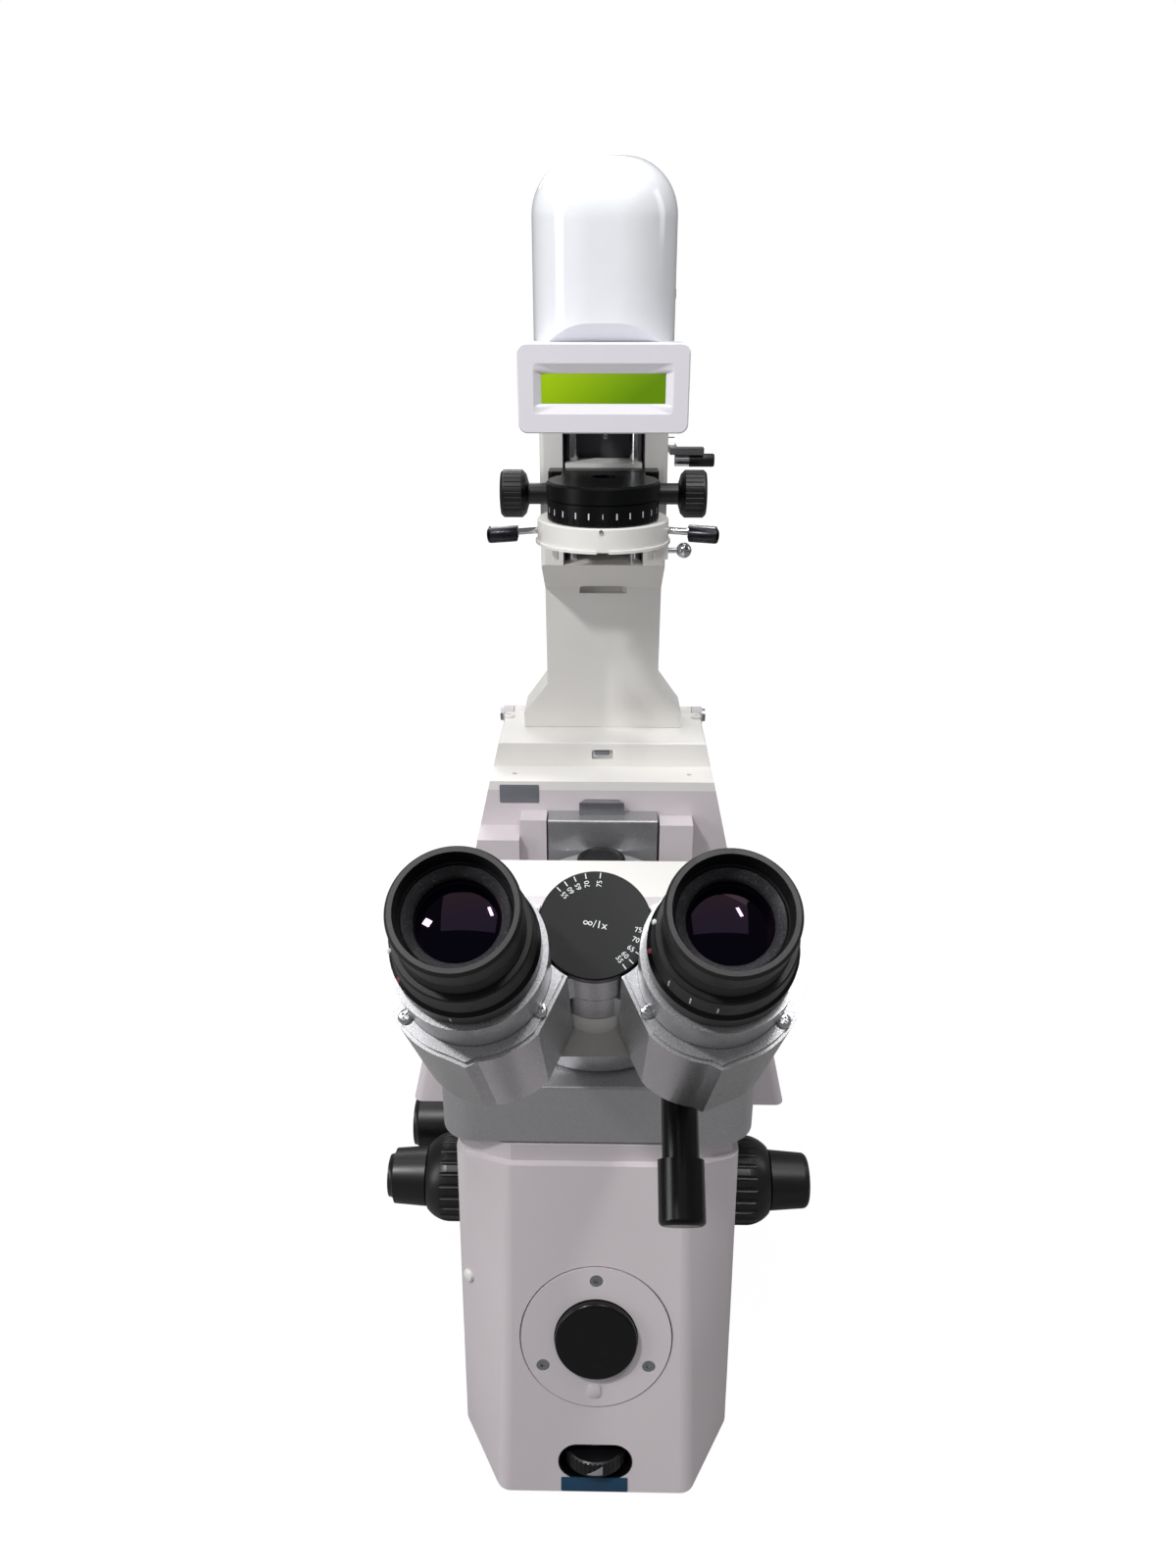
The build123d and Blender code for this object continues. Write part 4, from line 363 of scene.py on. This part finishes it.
for before, after in zip(wedge_rows, wedge_rows[1:]):
    for k in range(4):
        wedge.faces.new((before[k - 1], before[k], after[k], after[k - 1]))
wedge.faces.new(wedge_rows[0])
wedge.faces.new(wedge_rows[-1])
piece("brightness_wedge", wedge, grey_ink, "dimmer")

slot_lining = bmesh.new()
lining_rows = [[slot_lining.verts.new(on_panel(0, 22) @ Vector((x, y, depth))) for x, y in rounded(*size)]
               for size, depth in (((41.4, 20.9, 10.4), -20.0), ((41.4, 20.9, 10.4), -0.3),
                                   ((40.2, 20.5, 10.2), -0.3), ((40.2, 20.5, 10.2), -20.0))]
for k, row in enumerate(lining_rows):
    for step in range(len(row)):
        slot_lining.faces.new((lining_rows[k - 1][step - 1], lining_rows[k - 1][step], row[step], row[step - 1]))
piece("wheel_slot_lining", slot_lining, black_abs, "stand")

# Plate below the wheel: a blank polyester label, printed dark teal on the back of a clear film, so it
# shows a soft sheen over an even colour.
teal_film, tree, shader, place = finish("dark teal polyester film")
cloud = node(tree, "ShaderNodeTexNoise", Vector=place, Scale=1000 / 7.0, Detail=3.0)
tone = node(tree, "ShaderNodeMix", {"data_type": "RGBA"}, i0=cloud.outputs["Fac"], i6=linear("#0E3552"),
            i7=linear("#164564"))
satin = node(tree, "ShaderNodeMapRange", Value=cloud.outputs["Fac"], To_Min=0.25, To_Max=0.4)
tree.links.new(tone.outputs[2], shader.inputs["Base Color"])
tree.links.new(satin.outputs[0], shader.inputs["Roughness"])
teal_plate = bmesh.new()
slab(teal_plate, rounded(37.0, 8.4, 0.6), -0.2, 0.4, on_panel(-0.5, 8.6), soft=0.15)
piece("teal_plate", teal_plate, teal_film, "stand")

# Mains inlet and rocker: a black ABS insert in the back wall. Two nickel-plated screws hold the inlet's
# flange, and the rocker carries the usual line and ring, printed white.
nickel, tree, shader, place = finish("nickel-plated steel")
rub = node(tree, "ShaderNodeTexNoise", Vector=place, Scale=1000 / 1.0, Detail=3.0)
satin = node(tree, "ShaderNodeMapRange", Value=rub.outputs["Fac"], To_Min=0.18, To_Max=0.36)
tone = node(tree, "ShaderNodeMix", {"data_type": "RGBA"}, i0=rub.outputs["Fac"], i6=linear("#9C9A96"),
            i7=linear("#C2C0BC"))
shader.inputs["Metallic"].default_value = 1.0
tree.links.new(tone.outputs[2], shader.inputs["Base Color"])
tree.links.new(satin.outputs[0], shader.inputs["Roughness"])
inlet_screws = bmesh.new()
for x in (-53.3, -18.7):
    cross_head(inlet_screws, 1.7, 0.9, standing_at((x, 333.5, 50), (0, 1, 0)))
piece("inlet_screws", inlet_screws, nickel, "stand")

white_ink, tree, shader, place = finish("white screen-printed ink")
worn = node(tree, "ShaderNodeTexNoise", Vector=place, Scale=1000 / 0.7, Detail=3.0)
tone = node(tree, "ShaderNodeMix", {"data_type": "RGBA"}, i0=worn.outputs["Fac"], i6=linear("#C4C6C9"),
            i7=linear("#F0F1F2"))
tree.links.new(tone.outputs[2], shader.inputs["Base Color"])
shader.inputs["Roughness"].default_value = 0.6
rocker_print = bmesh.new()
slab(rocker_print, rounded(0.8, 4.2, 0.2, steps=2), -0.2, 0.08, standing_at((6, 332.53, 55), (0, 9.5, -1)))
turned(rocker_print, [(2.2, -0.2), (2.2, 0.08), (1.5, 0.08), (1.5, -0.2), (2.2, -0.2)],
       standing_at((6, 331.21, 45), (0, 9.5, -1.5)), steps=32)
piece("rocker_print", rocker_print, white_ink, "power_switch")

# Focus drive: sintered bronze bushes in the walls, with the coarse shaft turning in them.
bronze, tree, shader, place = finish("sintered bronze")
sinter = node(tree, "ShaderNodeTexNoise", Vector=place, Scale=1000 / 0.6, Detail=2.0)
tone = node(tree, "ShaderNodeMix", {"data_type": "RGBA"}, i0=sinter.outputs["Fac"], i6=linear("#9A7540"),
            i7=linear("#C49A5B"))
shader.inputs["Metallic"].default_value = 1.0
shader.inputs["Roughness"].default_value = 0.4
tree.links.new(tone.outputs[2], shader.inputs["Base Color"])
paint(bronze, "focus_shaft_bushes")

# Deck: a blank grey anodised plate on the riser left of the bay, a dark latch in a pale surround on the
# cover behind it, and two round-headed screws in the cover's back corners.
grey_anodised, tree, shader, place = finish("grey anodised aluminium")
across = node(tree, "ShaderNodeMapping", Vector=place, Scale=(0.08, 1.0, 1.0))
lines = node(tree, "ShaderNodeTexNoise", Vector=across.outputs[0], Scale=1000 / 0.8, Detail=3.0)
tone = node(tree, "ShaderNodeMix", {"data_type": "RGBA"}, i0=lines.outputs["Fac"], i6=linear("#6C6E76"),
            i7=linear("#85878F"))
satin = node(tree, "ShaderNodeMapRange", Value=lines.outputs["Fac"], To_Min=0.35, To_Max=0.5)
shader.inputs["Metallic"].default_value = 0.4
tree.links.new(tone.outputs[2], shader.inputs["Base Color"])
tree.links.new(satin.outputs[0], shader.inputs["Roughness"])
type_plate = bmesh.new()
slab(type_plate, rounded(33.5, 16.5, 1.0), -0.2, 0.5, standing_at((-70.2, 203.5, 233.6), (0, -1, 0)), soft=0.2)
piece("blank_type_plate", type_plate, grey_anodised, "stand")

deck_latch = bmesh.new()
latch_place = standing_at((0, 241.5, 256), (0, -1, 0))
slab(deck_latch, rounded(16.5, 7.6, 1.0), 0, 1.0, latch_place, soft=0.3)
piece("latch_surround", deck_latch, structure_enamel, "stand")
latch_slider = bmesh.new()
slab(latch_slider, rounded(13.0, 3.6, 0.8), 0.9, 3.6, standing_at((0, 241.5, 257.4), (0, -1, 0)), soft=0.5)
piece("latch_slider", latch_slider, grey_anodised, "stand")
deck_screws = bmesh.new()
for x in (-86, 86):
    turned(deck_screws, [(0, -1), (4.6, -1), (4.6, 1.6), (3.8, 2.3), (2.4, 2.4), (2.2, 0.8), (0, 0.8)],
           standing_at((x, 303, 267), (0, 0, 1)), steps=24)
piece("deck_cover_screws", deck_screws, structure_enamel, "stand")

# Nosepiece: a satin-chromed turret of six sockets on a painted carriage, with moulded dust caps.
satin_chrome, tree, shader, place = finish("satin chrome plate")
blast = node(tree, "ShaderNodeTexNoise", Vector=place, Scale=1000 / 0.5, Detail=2.0)
satin = node(tree, "ShaderNodeMapRange", Value=blast.outputs["Fac"], To_Min=0.3, To_Max=0.44)
bump = node(tree, "ShaderNodeBump", Strength=0.1, Distance=0.00005, Height=blast.outputs["Fac"])
shader.inputs["Base Color"].default_value = linear("#D2D4D6")
shader.inputs["Metallic"].default_value = 0.85
tree.links.new(satin.outputs[0], shader.inputs["Roughness"])
tree.links.new(bump.outputs[0], shader.inputs["Normal"])
paint(satin_chrome, "nosepiece_turret")

# Light path: a silvered glass block under the objective, the tube lens above it, and the lamp's optics.
silvered, tree, shader, place = finish("front-silvered glass")
smear = node(tree, "ShaderNodeTexNoise", Vector=place, Scale=1000 / 9.0, Detail=2.0)
haze = node(tree, "ShaderNodeMapRange", Value=smear.outputs["Fac"], To_Min=0.02, To_Max=0.06)
shader.inputs["Base Color"].default_value = linear("#E4E5E6")
shader.inputs["Metallic"].default_value = 1.0
tree.links.new(haze.outputs[0], shader.inputs["Roughness"])
paint(silvered, "light_path_mirror", "head_mirror")

clear_glass, tree, shader, place = finish("ground optical glass")
smear = node(tree, "ShaderNodeTexNoise", Vector=place, Scale=1000 / 9.0, Detail=2.0)
haze = node(tree, "ShaderNodeMapRange", Value=smear.outputs["Fac"], To_Min=0.01, To_Max=0.06)
shader.inputs["Base Color"].default_value = linear("#DDE8E6")
shader.inputs["IOR"].default_value = 1.52
shader.inputs["Transmission Weight"].default_value = 0.9
tree.links.new(haze.outputs[0], shader.inputs["Roughness"])
paint(clear_glass, "tube_lens", "condenser_lens", "halogen_lamp")

# Viewing tube and its folding arms: zinc castings in silver metallic paint. Fine flakes sparkle in it
# under a satin clear coat, and each arm's cover plate is held by two cross-head screws. The head block
# below the tube has the same coat, which mirrors the darker bench and so looks greyer than the stand.
silver_paint, tree, shader, place = finish("silver metallic paint")
flake_mm = 0.22
flakes = node(tree, "ShaderNodeTexVoronoi", Vector=place, Scale=1000 / flake_mm)
glint = node(tree, "ShaderNodeSeparateColor", Color=flakes.outputs["Color"])
tone = node(tree, "ShaderNodeMix", {"data_type": "RGBA"}, i0=glint.outputs[0], i6=linear("#A8A8AB"),
            i7=linear("#C2C2C5"))
satin = node(tree, "ShaderNodeMapRange", Value=glint.outputs[1], To_Min=0.26, To_Max=0.38)
bump = node(tree, "ShaderNodeBump", Strength=0.12, Distance=0.00003, Height=glint.outputs[2])
shader.inputs["Metallic"].default_value = 0.8
shader.inputs["Coat Weight"].default_value = 0.25
shader.inputs["Coat Roughness"].default_value = 0.25
tree.links.new(tone.outputs[2], shader.inputs["Base Color"])
tree.links.new(satin.outputs[0], shader.inputs["Roughness"])
tree.links.new(bump.outputs[0], shader.inputs["Normal"])
paint(silver_paint, "left_prism_housing", "right_prism_housing", "left_housing_cover", "right_housing_cover",
      "tube_mount_ring", "nosepiece_carriage", "head_block")

HINGE = Vector((0, -340.7, 430.9))
TUBE_TILT = radians(50)
ARM = 40.5
DROOP = acos(37.5 / ARM)
tube_up = Vector((0, sin(TUBE_TILT), cos(TUBE_TILT)))
tube_out = Vector((0, -cos(TUBE_TILT), sin(TUBE_TILT)))


def on_arm(side, along, below, out):
    """A place on a folding arm: mm from the hinge, mm below the arm's middle line, mm towards the eye."""
    run = Vector((side * cos(DROOP), 0, 0)) - tube_up * sin(DROOP)
    return standing_at(HINGE + run * along + run.cross(tube_out) * side * below + tube_out * out, tube_out)


chrome, tree, shader, place = finish("polished chrome plate")
wipe = node(tree, "ShaderNodeTexNoise", Vector=place, Scale=1000 / 4.0, Detail=3.0)
satin = node(tree, "ShaderNodeMapRange", Value=wipe.outputs["Fac"], To_Min=0.06, To_Max=0.22)
shader.inputs["Base Color"].default_value = linear("#CBCCCF")
shader.inputs["Metallic"].default_value = 1.0
tree.links.new(satin.outputs[0], shader.inputs["Roughness"])
paint(chrome, "condenser_guide_rods", "condenser_drive_shaft", "left_centring_screw", "right_centring_screw",
      "lens_clamp_screw", "filter_lever")
for side, word in ((-1, "left"), (1, "right")):
    cover_screws = bmesh.new()
    for along, below, quarter in ((26.0, 19.7, 0.3), (65.0, 6.5, 0.9)):
        cross_head(cover_screws, 2.4, 1.3, on_arm(side, along, below, 0.45) @ Matrix.Rotation(quarter, 4, "Z"))
    piece(f"{word}_cover_screws", cover_screws, chrome, f"{word}_arm")

# Eyepieces: turned aluminium, hard-anodised black, with rubber cups. A dusty retaining ring holds the eye
# lens, and the setting marks are paint-filled: white on the diopter ring, dark red on the fixed one.
black_anodised, tree, shader, place = finish("black anodised aluminium")
lathe = node(tree, "ShaderNodeTexNoise", Vector=place, Scale=1000 / 0.6, Detail=3.0)
speck = node(tree, "ShaderNodeTexNoise", Vector=place, Scale=1000 / 0.5, Detail=2.0)
dust = node(tree, "ShaderNodeMapRange", Value=speck.outputs["Fac"], From_Min=0.68, From_Max=0.8)
tone = node(tree, "ShaderNodeMix", {"data_type": "RGBA"}, i0=dust.outputs[0], i6=linear("#040507"),
            i7=linear("#2A2A2E"))
satin = node(tree, "ShaderNodeMapRange", Value=lathe.outputs["Fac"], To_Min=0.26, To_Max=0.4)
shader.inputs["Metallic"].default_value = 0.2
shader.inputs["Specular IOR Level"].default_value = 0.3
tree.links.new(tone.outputs[2], shader.inputs["Base Color"])
tree.links.new(satin.outputs[0], shader.inputs["Roughness"])
paint(black_anodised, "left_eyepiece", "right_eyepiece", "condenser_turret", "condenser_turret_cover",
      "condenser_drive_block")

ring_grey, tree, shader, place = finish("dusty grey anodised ring")
speck = node(tree, "ShaderNodeTexNoise", Vector=place, Scale=1000 / 0.35, Detail=3.0)
dust = node(tree, "ShaderNodeMapRange", Value=speck.outputs["Fac"], From_Min=0.6, From_Max=0.75)
tone = node(tree, "ShaderNodeMix", {"data_type": "RGBA"}, i0=dust.outputs[0], i6=linear("#38383C"),
            i7=linear("#9A9AA0"))
satin = node(tree, "ShaderNodeMapRange", Value=speck.outputs["Fac"], To_Min=0.3, To_Max=0.5)
shader.inputs["Metallic"].default_value = 0.4
tree.links.new(tone.outputs[2], shader.inputs["Base Color"])
tree.links.new(satin.outputs[0], shader.inputs["Roughness"])

coated_glass, tree, shader, place = finish("coated eye-lens glass")
smear = node(tree, "ShaderNodeTexNoise", Vector=place, Scale=1000 / 5.0, Detail=3.0)
haze = node(tree, "ShaderNodeMapRange", Value=smear.outputs["Fac"], To_Min=0.0, To_Max=0.05)
shader.inputs["Base Color"].default_value = linear("#010104")
shader.inputs["IOR"].default_value = 1.62
shader.inputs["Thin Film Thickness"].default_value = 100.0
shader.inputs["Thin Film IOR"].default_value = 1.38
tree.links.new(haze.outputs[0], shader.inputs["Roughness"])

red_fill, tree, shader, place = finish("dark red paint fill")
worn = node(tree, "ShaderNodeTexNoise", Vector=place, Scale=1000 / 0.5, Detail=2.0)
tone = node(tree, "ShaderNodeMix", {"data_type": "RGBA"}, i0=worn.outputs["Fac"], i6=linear("#5A1B26"),
            i7=linear("#8A2F3C"))
tree.links.new(tone.outputs[2], shader.inputs["Base Color"])
shader.inputs["Roughness"].default_value = 0.5

LENS_TOP, LENS_CURVE = 47.3, 45.0
for side, word in ((-1, "left"), (1, "right")):
    axis = on_arm(side, ARM, 0, 0)
    lens = bmesh.new()
    dome = [(12.3 * k / 12, LENS_TOP + 0.12 - LENS_CURVE + (LENS_CURVE ** 2 - (12.3 * k / 12) ** 2) ** 0.5)
            for k in range(12, -1, -1)]
    turned(lens, [(0, LENS_TOP - 3), (12.3, LENS_TOP - 3)] + dome, axis, steps=64)
    piece(f"{word}_eye_lens_front", lens, coated_glass, f"{word}_arm")
    holder = bmesh.new()
    turned(holder, [(12.32, LENS_TOP - 3), (15.3, LENS_TOP - 3), (15.3, 49.2), (14.9, 49.5), (13.0, 47.6),
                    (12.32, 46.5), (12.32, LENS_TOP - 3)], axis, steps=72)
    piece(f"{word}_lens_retaining_ring", holder, ring_grey, f"{word}_arm")
    dot_angle = radians(197 if side < 0 else 171)
    dot = bmesh.new()
    outward = Vector((cos(dot_angle), sin(dot_angle), 0.35))
    dot_place = axis @ standing_at((20.6 * cos(dot_angle), 20.6 * sin(dot_angle), 37.0), outward, (0, 0, 1))
    turned(dot, [(0, -0.5), (0.85, -0.5), (0.85, 0.35), (0.5, 0.6), (0, 0.65)], dot_place, steps=20)
    piece(f"{word}_diopter_dot", dot, white_ink, f"{word}_diopter")
    dot_angle = radians(212 if side < 0 else 186)
    dot = bmesh.new()
    outward = Vector((cos(dot_angle), sin(dot_angle), 1.0))
    dot_place = axis @ standing_at((21.45 * cos(dot_angle), 21.45 * sin(dot_angle), 27.65), outward, (0, 0, 1))
    turned(dot, [(0, -0.5), (0.8, -0.5), (0.8, 0.12), (0.5, 0.25), (0, 0.28)], dot_place, steps=20)
    piece(f"{word}_ring_dot", dot, red_fill, f"{word}_arm")
    ticks = bmesh.new()
    for turn in ((262,) if side < 0 else (219, 240, 262)):
        radius, low, high = (22.2, 22.5, 25.5) if side < 0 else (21.1, 30.5, 34.5)
        tick_place = axis @ standing_at((radius * cos(radians(turn)), radius * sin(radians(turn)),
                                         (low + high) / 2), (cos(radians(turn)), sin(radians(turn)), 0), (0, 0, 1))
        slab(ticks, rounded(high - low, 0.45, 0.1, steps=2), -0.25, 0.08, tick_place)
    piece(f"{word}_ring_ticks", ticks, white_ink, f"{word}_arm" if side < 0 else "right_diopter")


# Scale disc: a black anodised cap over the hinge. The white ticks and numbers give the distance between
# the eyes in millimetres, one set for each arm, and the middle gives the tube's factor.
def write(shape, words, size, place):
    """Set flat words in mm, centred on a place, as a thin printed layer."""
    curve = bpy.data.curves.new("print", "FONT")
    curve.body = words
    curve.size = size
    curve.align_x = "CENTER"
    curve.align_y = "CENTER"
    curve.extrude = 0.03
    curve.resolution_u = 3
    cut = bpy.data.objects.new("print", curve)
    scene.collection.objects.link(cut)
    mesh = bpy.data.meshes.new_from_object(cut)
    mesh.transform(place)
    shape.from_mesh(mesh)
    bpy.data.objects.remove(cut)
    bpy.data.curves.remove(curve)
    bpy.data.meshes.remove(mesh)


paint(black_anodised, "scale_disc")
print_layer = bmesh.new()
disc_face = standing_at(HINGE, tube_out)
for number, first, second in ((75, 84.6, -7.6), (70, 101.0, -21.5), (65, 113.5, -35.0), (60, 125.0, -46.7),
                              (55, 135.2, -56.0)):
    for angle in (first, second):
        spoke = disc_face @ Matrix.Rotation(radians(angle), 4, "Z")
        slab(print_layer, rounded(1.9, 0.32, 0.05, steps=2), -0.03, 0.03, spoke @ Matrix.Translation((16.7, 0, 0)))
        write(print_layer, str(number), 2.4, spoke @ Matrix.Translation((13.9, 0, 0.01)))
write(print_layer, "∞/1x", 3.6, disc_face @ Matrix.Rotation(radians(-10), 4, "Z"))
piece("scale_disc_print", print_layer, white_ink, "left_arm")

# Carrier: the column has a channel for the condenser slide. A U of dark grey sheet is set in it as painted
# shade, for the shade deep in the channel. One screw in the back holds the sheet.
channel_shade_paint, tree, shader, place = finish("dark grey painted shade")
peel = node(tree, "ShaderNodeTexNoise", Vector=place, Scale=1000 / 1.0, Detail=2.0)
satin = node(tree, "ShaderNodeMapRange", Value=peel.outputs["Fac"], To_Min=0.35, To_Max=0.5)
tone = node(tree, "ShaderNodeMix", {"data_type": "RGBA"}, i0=peel.outputs["Fac"], i6=linear("#454349"),
            i7=linear("#56545A"))
tree.links.new(tone.outputs[2], shader.inputs["Base Color"])
tree.links.new(satin.outputs[0], shader.inputs["Roughness"])
shade_sheet = bmesh.new()
slab(shade_sheet, [(-30.9, 210), (-30.4, 210), (-30.4, 250.9), (30.4, 250.9), (30.4, 210), (30.9, 210),
              (30.9, 251.4), (-30.9, 251.4)], 429, 574.5, Matrix.Identity(4))
piece("channel_shade_sheet", shade_sheet, channel_shade_paint, "carrier")
channel_screw = bmesh.new()
cross_head(channel_screw, 2.2, 1.2, standing_at((1.4, 250.9, 520), (0, -1, 0)))
piece("channel_screw", channel_screw, nickel, "carrier")

# Head: the nose cover is a pressed cover in high-gloss white enamel that mirrors the lamps. A knurled
# screw on the right holds it to the arm.
gloss_enamel, tree, shader, place = finish("gloss white enamel")
wave = node(tree, "ShaderNodeTexNoise", Vector=place, Scale=1000 / 16.0, Detail=1.0)
bump = node(tree, "ShaderNodeBump", Strength=0.03, Distance=0.0004, Height=wave.outputs["Fac"])
haze = node(tree, "ShaderNodeMapRange", Value=wave.outputs["Fac"], To_Min=0.10, To_Max=0.2)
tone = node(tree, "ShaderNodeMix", {"data_type": "RGBA"}, i0=wave.outputs["Fac"], i6=linear("#E9EBF0"),
            i7=linear("#EEF0F4"))
shader.inputs["Coat Weight"].default_value = 0.6
shader.inputs["Coat Roughness"].default_value = 0.05
tree.links.new(tone.outputs[2], shader.inputs["Base Color"])
tree.links.new(haze.outputs[0], shader.inputs["Roughness"])
tree.links.new(bump.outputs[0], shader.inputs["Normal"])
paint(gloss_enamel, "nose_cover")
cover_knob = bmesh.new()
turned(cover_knob, [(0, -1), (2.0, -1), (2.0, 1.0), (3.6, 1.2), (3.6, 4.4), (3.2, 4.8), (0, 4.8)],
       standing_at((47, 226, 622), (1, 0, 0), (0, 0, 1)), steps=36, ribs=0.2)
piece("cover_knurled_screw", cover_knob, nickel, "carrier")

# Display: a moulded white ABS housing with a light spark-eroded grain. Behind the window is a backlit
# liquid-crystal panel, brighter at its left end and darker at its right. Towards its lower edge it is painted
# darker as painted shade from the window's rim.
white_abs, tree, shader, place = finish("moulded white ABS")
spark = node(tree, "ShaderNodeTexNoise", Vector=place, Scale=1000 / 0.6, Detail=1.0)
bump = node(tree, "ShaderNodeBump", Strength=0.1, Distance=0.00008, Height=spark.outputs["Fac"])
satin = node(tree, "ShaderNodeMapRange", Value=spark.outputs["Fac"], To_Min=0.3, To_Max=0.4)
tone = node(tree, "ShaderNodeMix", {"data_type": "RGBA"}, i0=spark.outputs["Fac"], i6=linear("#E6E4EA"),
            i7=linear("#DEDCE3"))
tree.links.new(tone.outputs[2], shader.inputs["Base Color"])
tree.links.new(satin.outputs[0], shader.inputs["Roughness"])
tree.links.new(bump.outputs[0], shader.inputs["Normal"])
paint(white_abs, "display_housing")

lcd, tree, shader, place = finish("backlit lime liquid crystal")
parts = node(tree, "ShaderNodeSeparateXYZ", Vector=place)
across = node(tree, "ShaderNodeMapRange", Value=parts.outputs["X"], From_Min=-0.04, From_Max=0.04)
# Painted shade: the panel's colour is darkened towards its lower edge, for the shade inside the window's rim.
painted_rim_shade = node(tree, "ShaderNodeMapRange", Value=parts.outputs["Z"], From_Min=0.556, From_Max=0.574,
              To_Min=0.3, To_Max=0.0)
shade = node(tree, "ShaderNodeMath", {"operation": "ADD", "use_clamp": True}, i0=across.outputs[0],
             i1=painted_rim_shade.outputs[0])
cells = node(tree, "ShaderNodeTexNoise", Vector=place, Scale=1000 / 1.5, Detail=1.0)
satin = node(tree, "ShaderNodeMapRange", Value=cells.outputs["Fac"], To_Min=0.06, To_Max=0.14)
glow = node(tree, "ShaderNodeMix", {"data_type": "RGBA"}, i0=shade.outputs[0], i6=linear("#95B80C"),
            i7=linear("#5A8004"))
shader.inputs["Emission Strength"].default_value = 0.3
tree.links.new(satin.outputs[0], shader.inputs["Roughness"])
tree.links.new(glow.outputs[2], shader.inputs["Base Color"])
tree.links.new(glow.outputs[2], shader.inputs["Emission Color"])
paint(lcd, "display_window")

# Lamp housing: black ABS with slots in its top. Four screws hold its back.
lamp_screws = bmesh.new()
for x in (-34, 34):
    for z in (607, 684):
        cross_head(lamp_screws, 2.6, 1.4, standing_at((x, 402.4, z), (0, 1, 0)))
piece("lamp_housing_screws", lamp_screws, nickel, "carrier")

# Condenser: on the turret's rim a white tick stands on each side of a filter's number. The centring
# screws end in knurled grips of black-chromed brass, and the filter lever in a black handle.
dial_print = bmesh.new()
TURRET_Y, TURRET_RIM = 143.5, 39.5
for k in range(5):
    angle = radians(-90 + 72 * k)
    rim_place = standing_at((TURRET_RIM * cos(angle), TURRET_Y + TURRET_RIM * sin(angle), 482.6),
                            (cos(angle), sin(angle), 0), (-sin(angle), cos(angle), 0))
    write(dial_print, str(k + 1), 5.0, rim_place @ Matrix.Translation((0, 0, 0.05)))
    for turn in (-28, -14, 14, 28):
        angle = radians(-90 + 72 * k + turn)
        rim_place = standing_at((TURRET_RIM * cos(angle), TURRET_Y + TURRET_RIM * sin(angle), 482.6),
                                (cos(angle), sin(angle), 0), (-sin(angle), cos(angle), 0))
        slab(dial_print, rounded(0.9, 4.2, 0.2, steps=2), -0.2, 0.1, rim_place)
piece("turret_dial_print", dial_print, white_ink, "condenser_disc")

index_dot = bmesh.new()
turned(index_dot, [(0, -1), (1.7, -1), (1.7, 0.4), (1.2, 1.1), (0, 1.4)],
       standing_at((-1, 102.6, 472.6), (0, -1, 0)), steps=24)
piece("condenser_index_stud", index_dot, chrome, "condenser")
stops = bmesh.new()
for x in (-33.5, 33.5):
    slab(stops, rounded(4.5, 6.0, 1.0), 449.5, 459.2, Matrix.Translation((x, 128.0, 0)))
piece("condenser_slide_stops", stops, structure_enamel, "condenser")

black_chrome, tree, shader, place = finish("black-chromed brass")
wipe = node(tree, "ShaderNodeTexNoise", Vector=place, Scale=1000 / 2.0, Detail=2.0)
satin = node(tree, "ShaderNodeMapRange", Value=wipe.outputs["Fac"], To_Min=0.2, To_Max=0.34)
tone = node(tree, "ShaderNodeMix", {"data_type": "RGBA"}, i0=wipe.outputs["Fac"], i6=linear("#26262A"),
            i7=linear("#3A3A3F"))
shader.inputs["Metallic"].default_value = 0.9
tree.links.new(tone.outputs[2], shader.inputs["Base Color"])
tree.links.new(satin.outputs[0], shader.inputs["Roughness"])
for side, word in ((-1, "left"), (1, "right")):
    run = Vector((side * cos(radians(20)), -sin(radians(20)), 0))
    grip = bmesh.new()
    turned(grip, [(2.7, 64.6), (5.15, 64.6), (5.25, 65.2), (5.25, 83.2), (4.9, 84.4), (4.0, 84.9), (3.9, 84.6),
                  (2.7, 84.5), (2.7, 64.6)],
           standing_at(Vector((0, 149.5, 467)), run, (0, 0, 1)), steps=60, ribs=0.12)
    piece(f"{word}_centring_grip", grip, black_chrome, f"{word}_centring")
sleeve = bmesh.new()
turned(sleeve, [(4.55, 0), (5.0, 0.3), (5.0, 18.4), (4.4, 19.4), (0, 19.5)],
       standing_at((65.5, 227.5, 505), (1, 0, 0), (0, 0, 1)), steps=40, ribs=0.1)
piece("lever_handle_sleeve", sleeve, black_abs, "swing_lever")
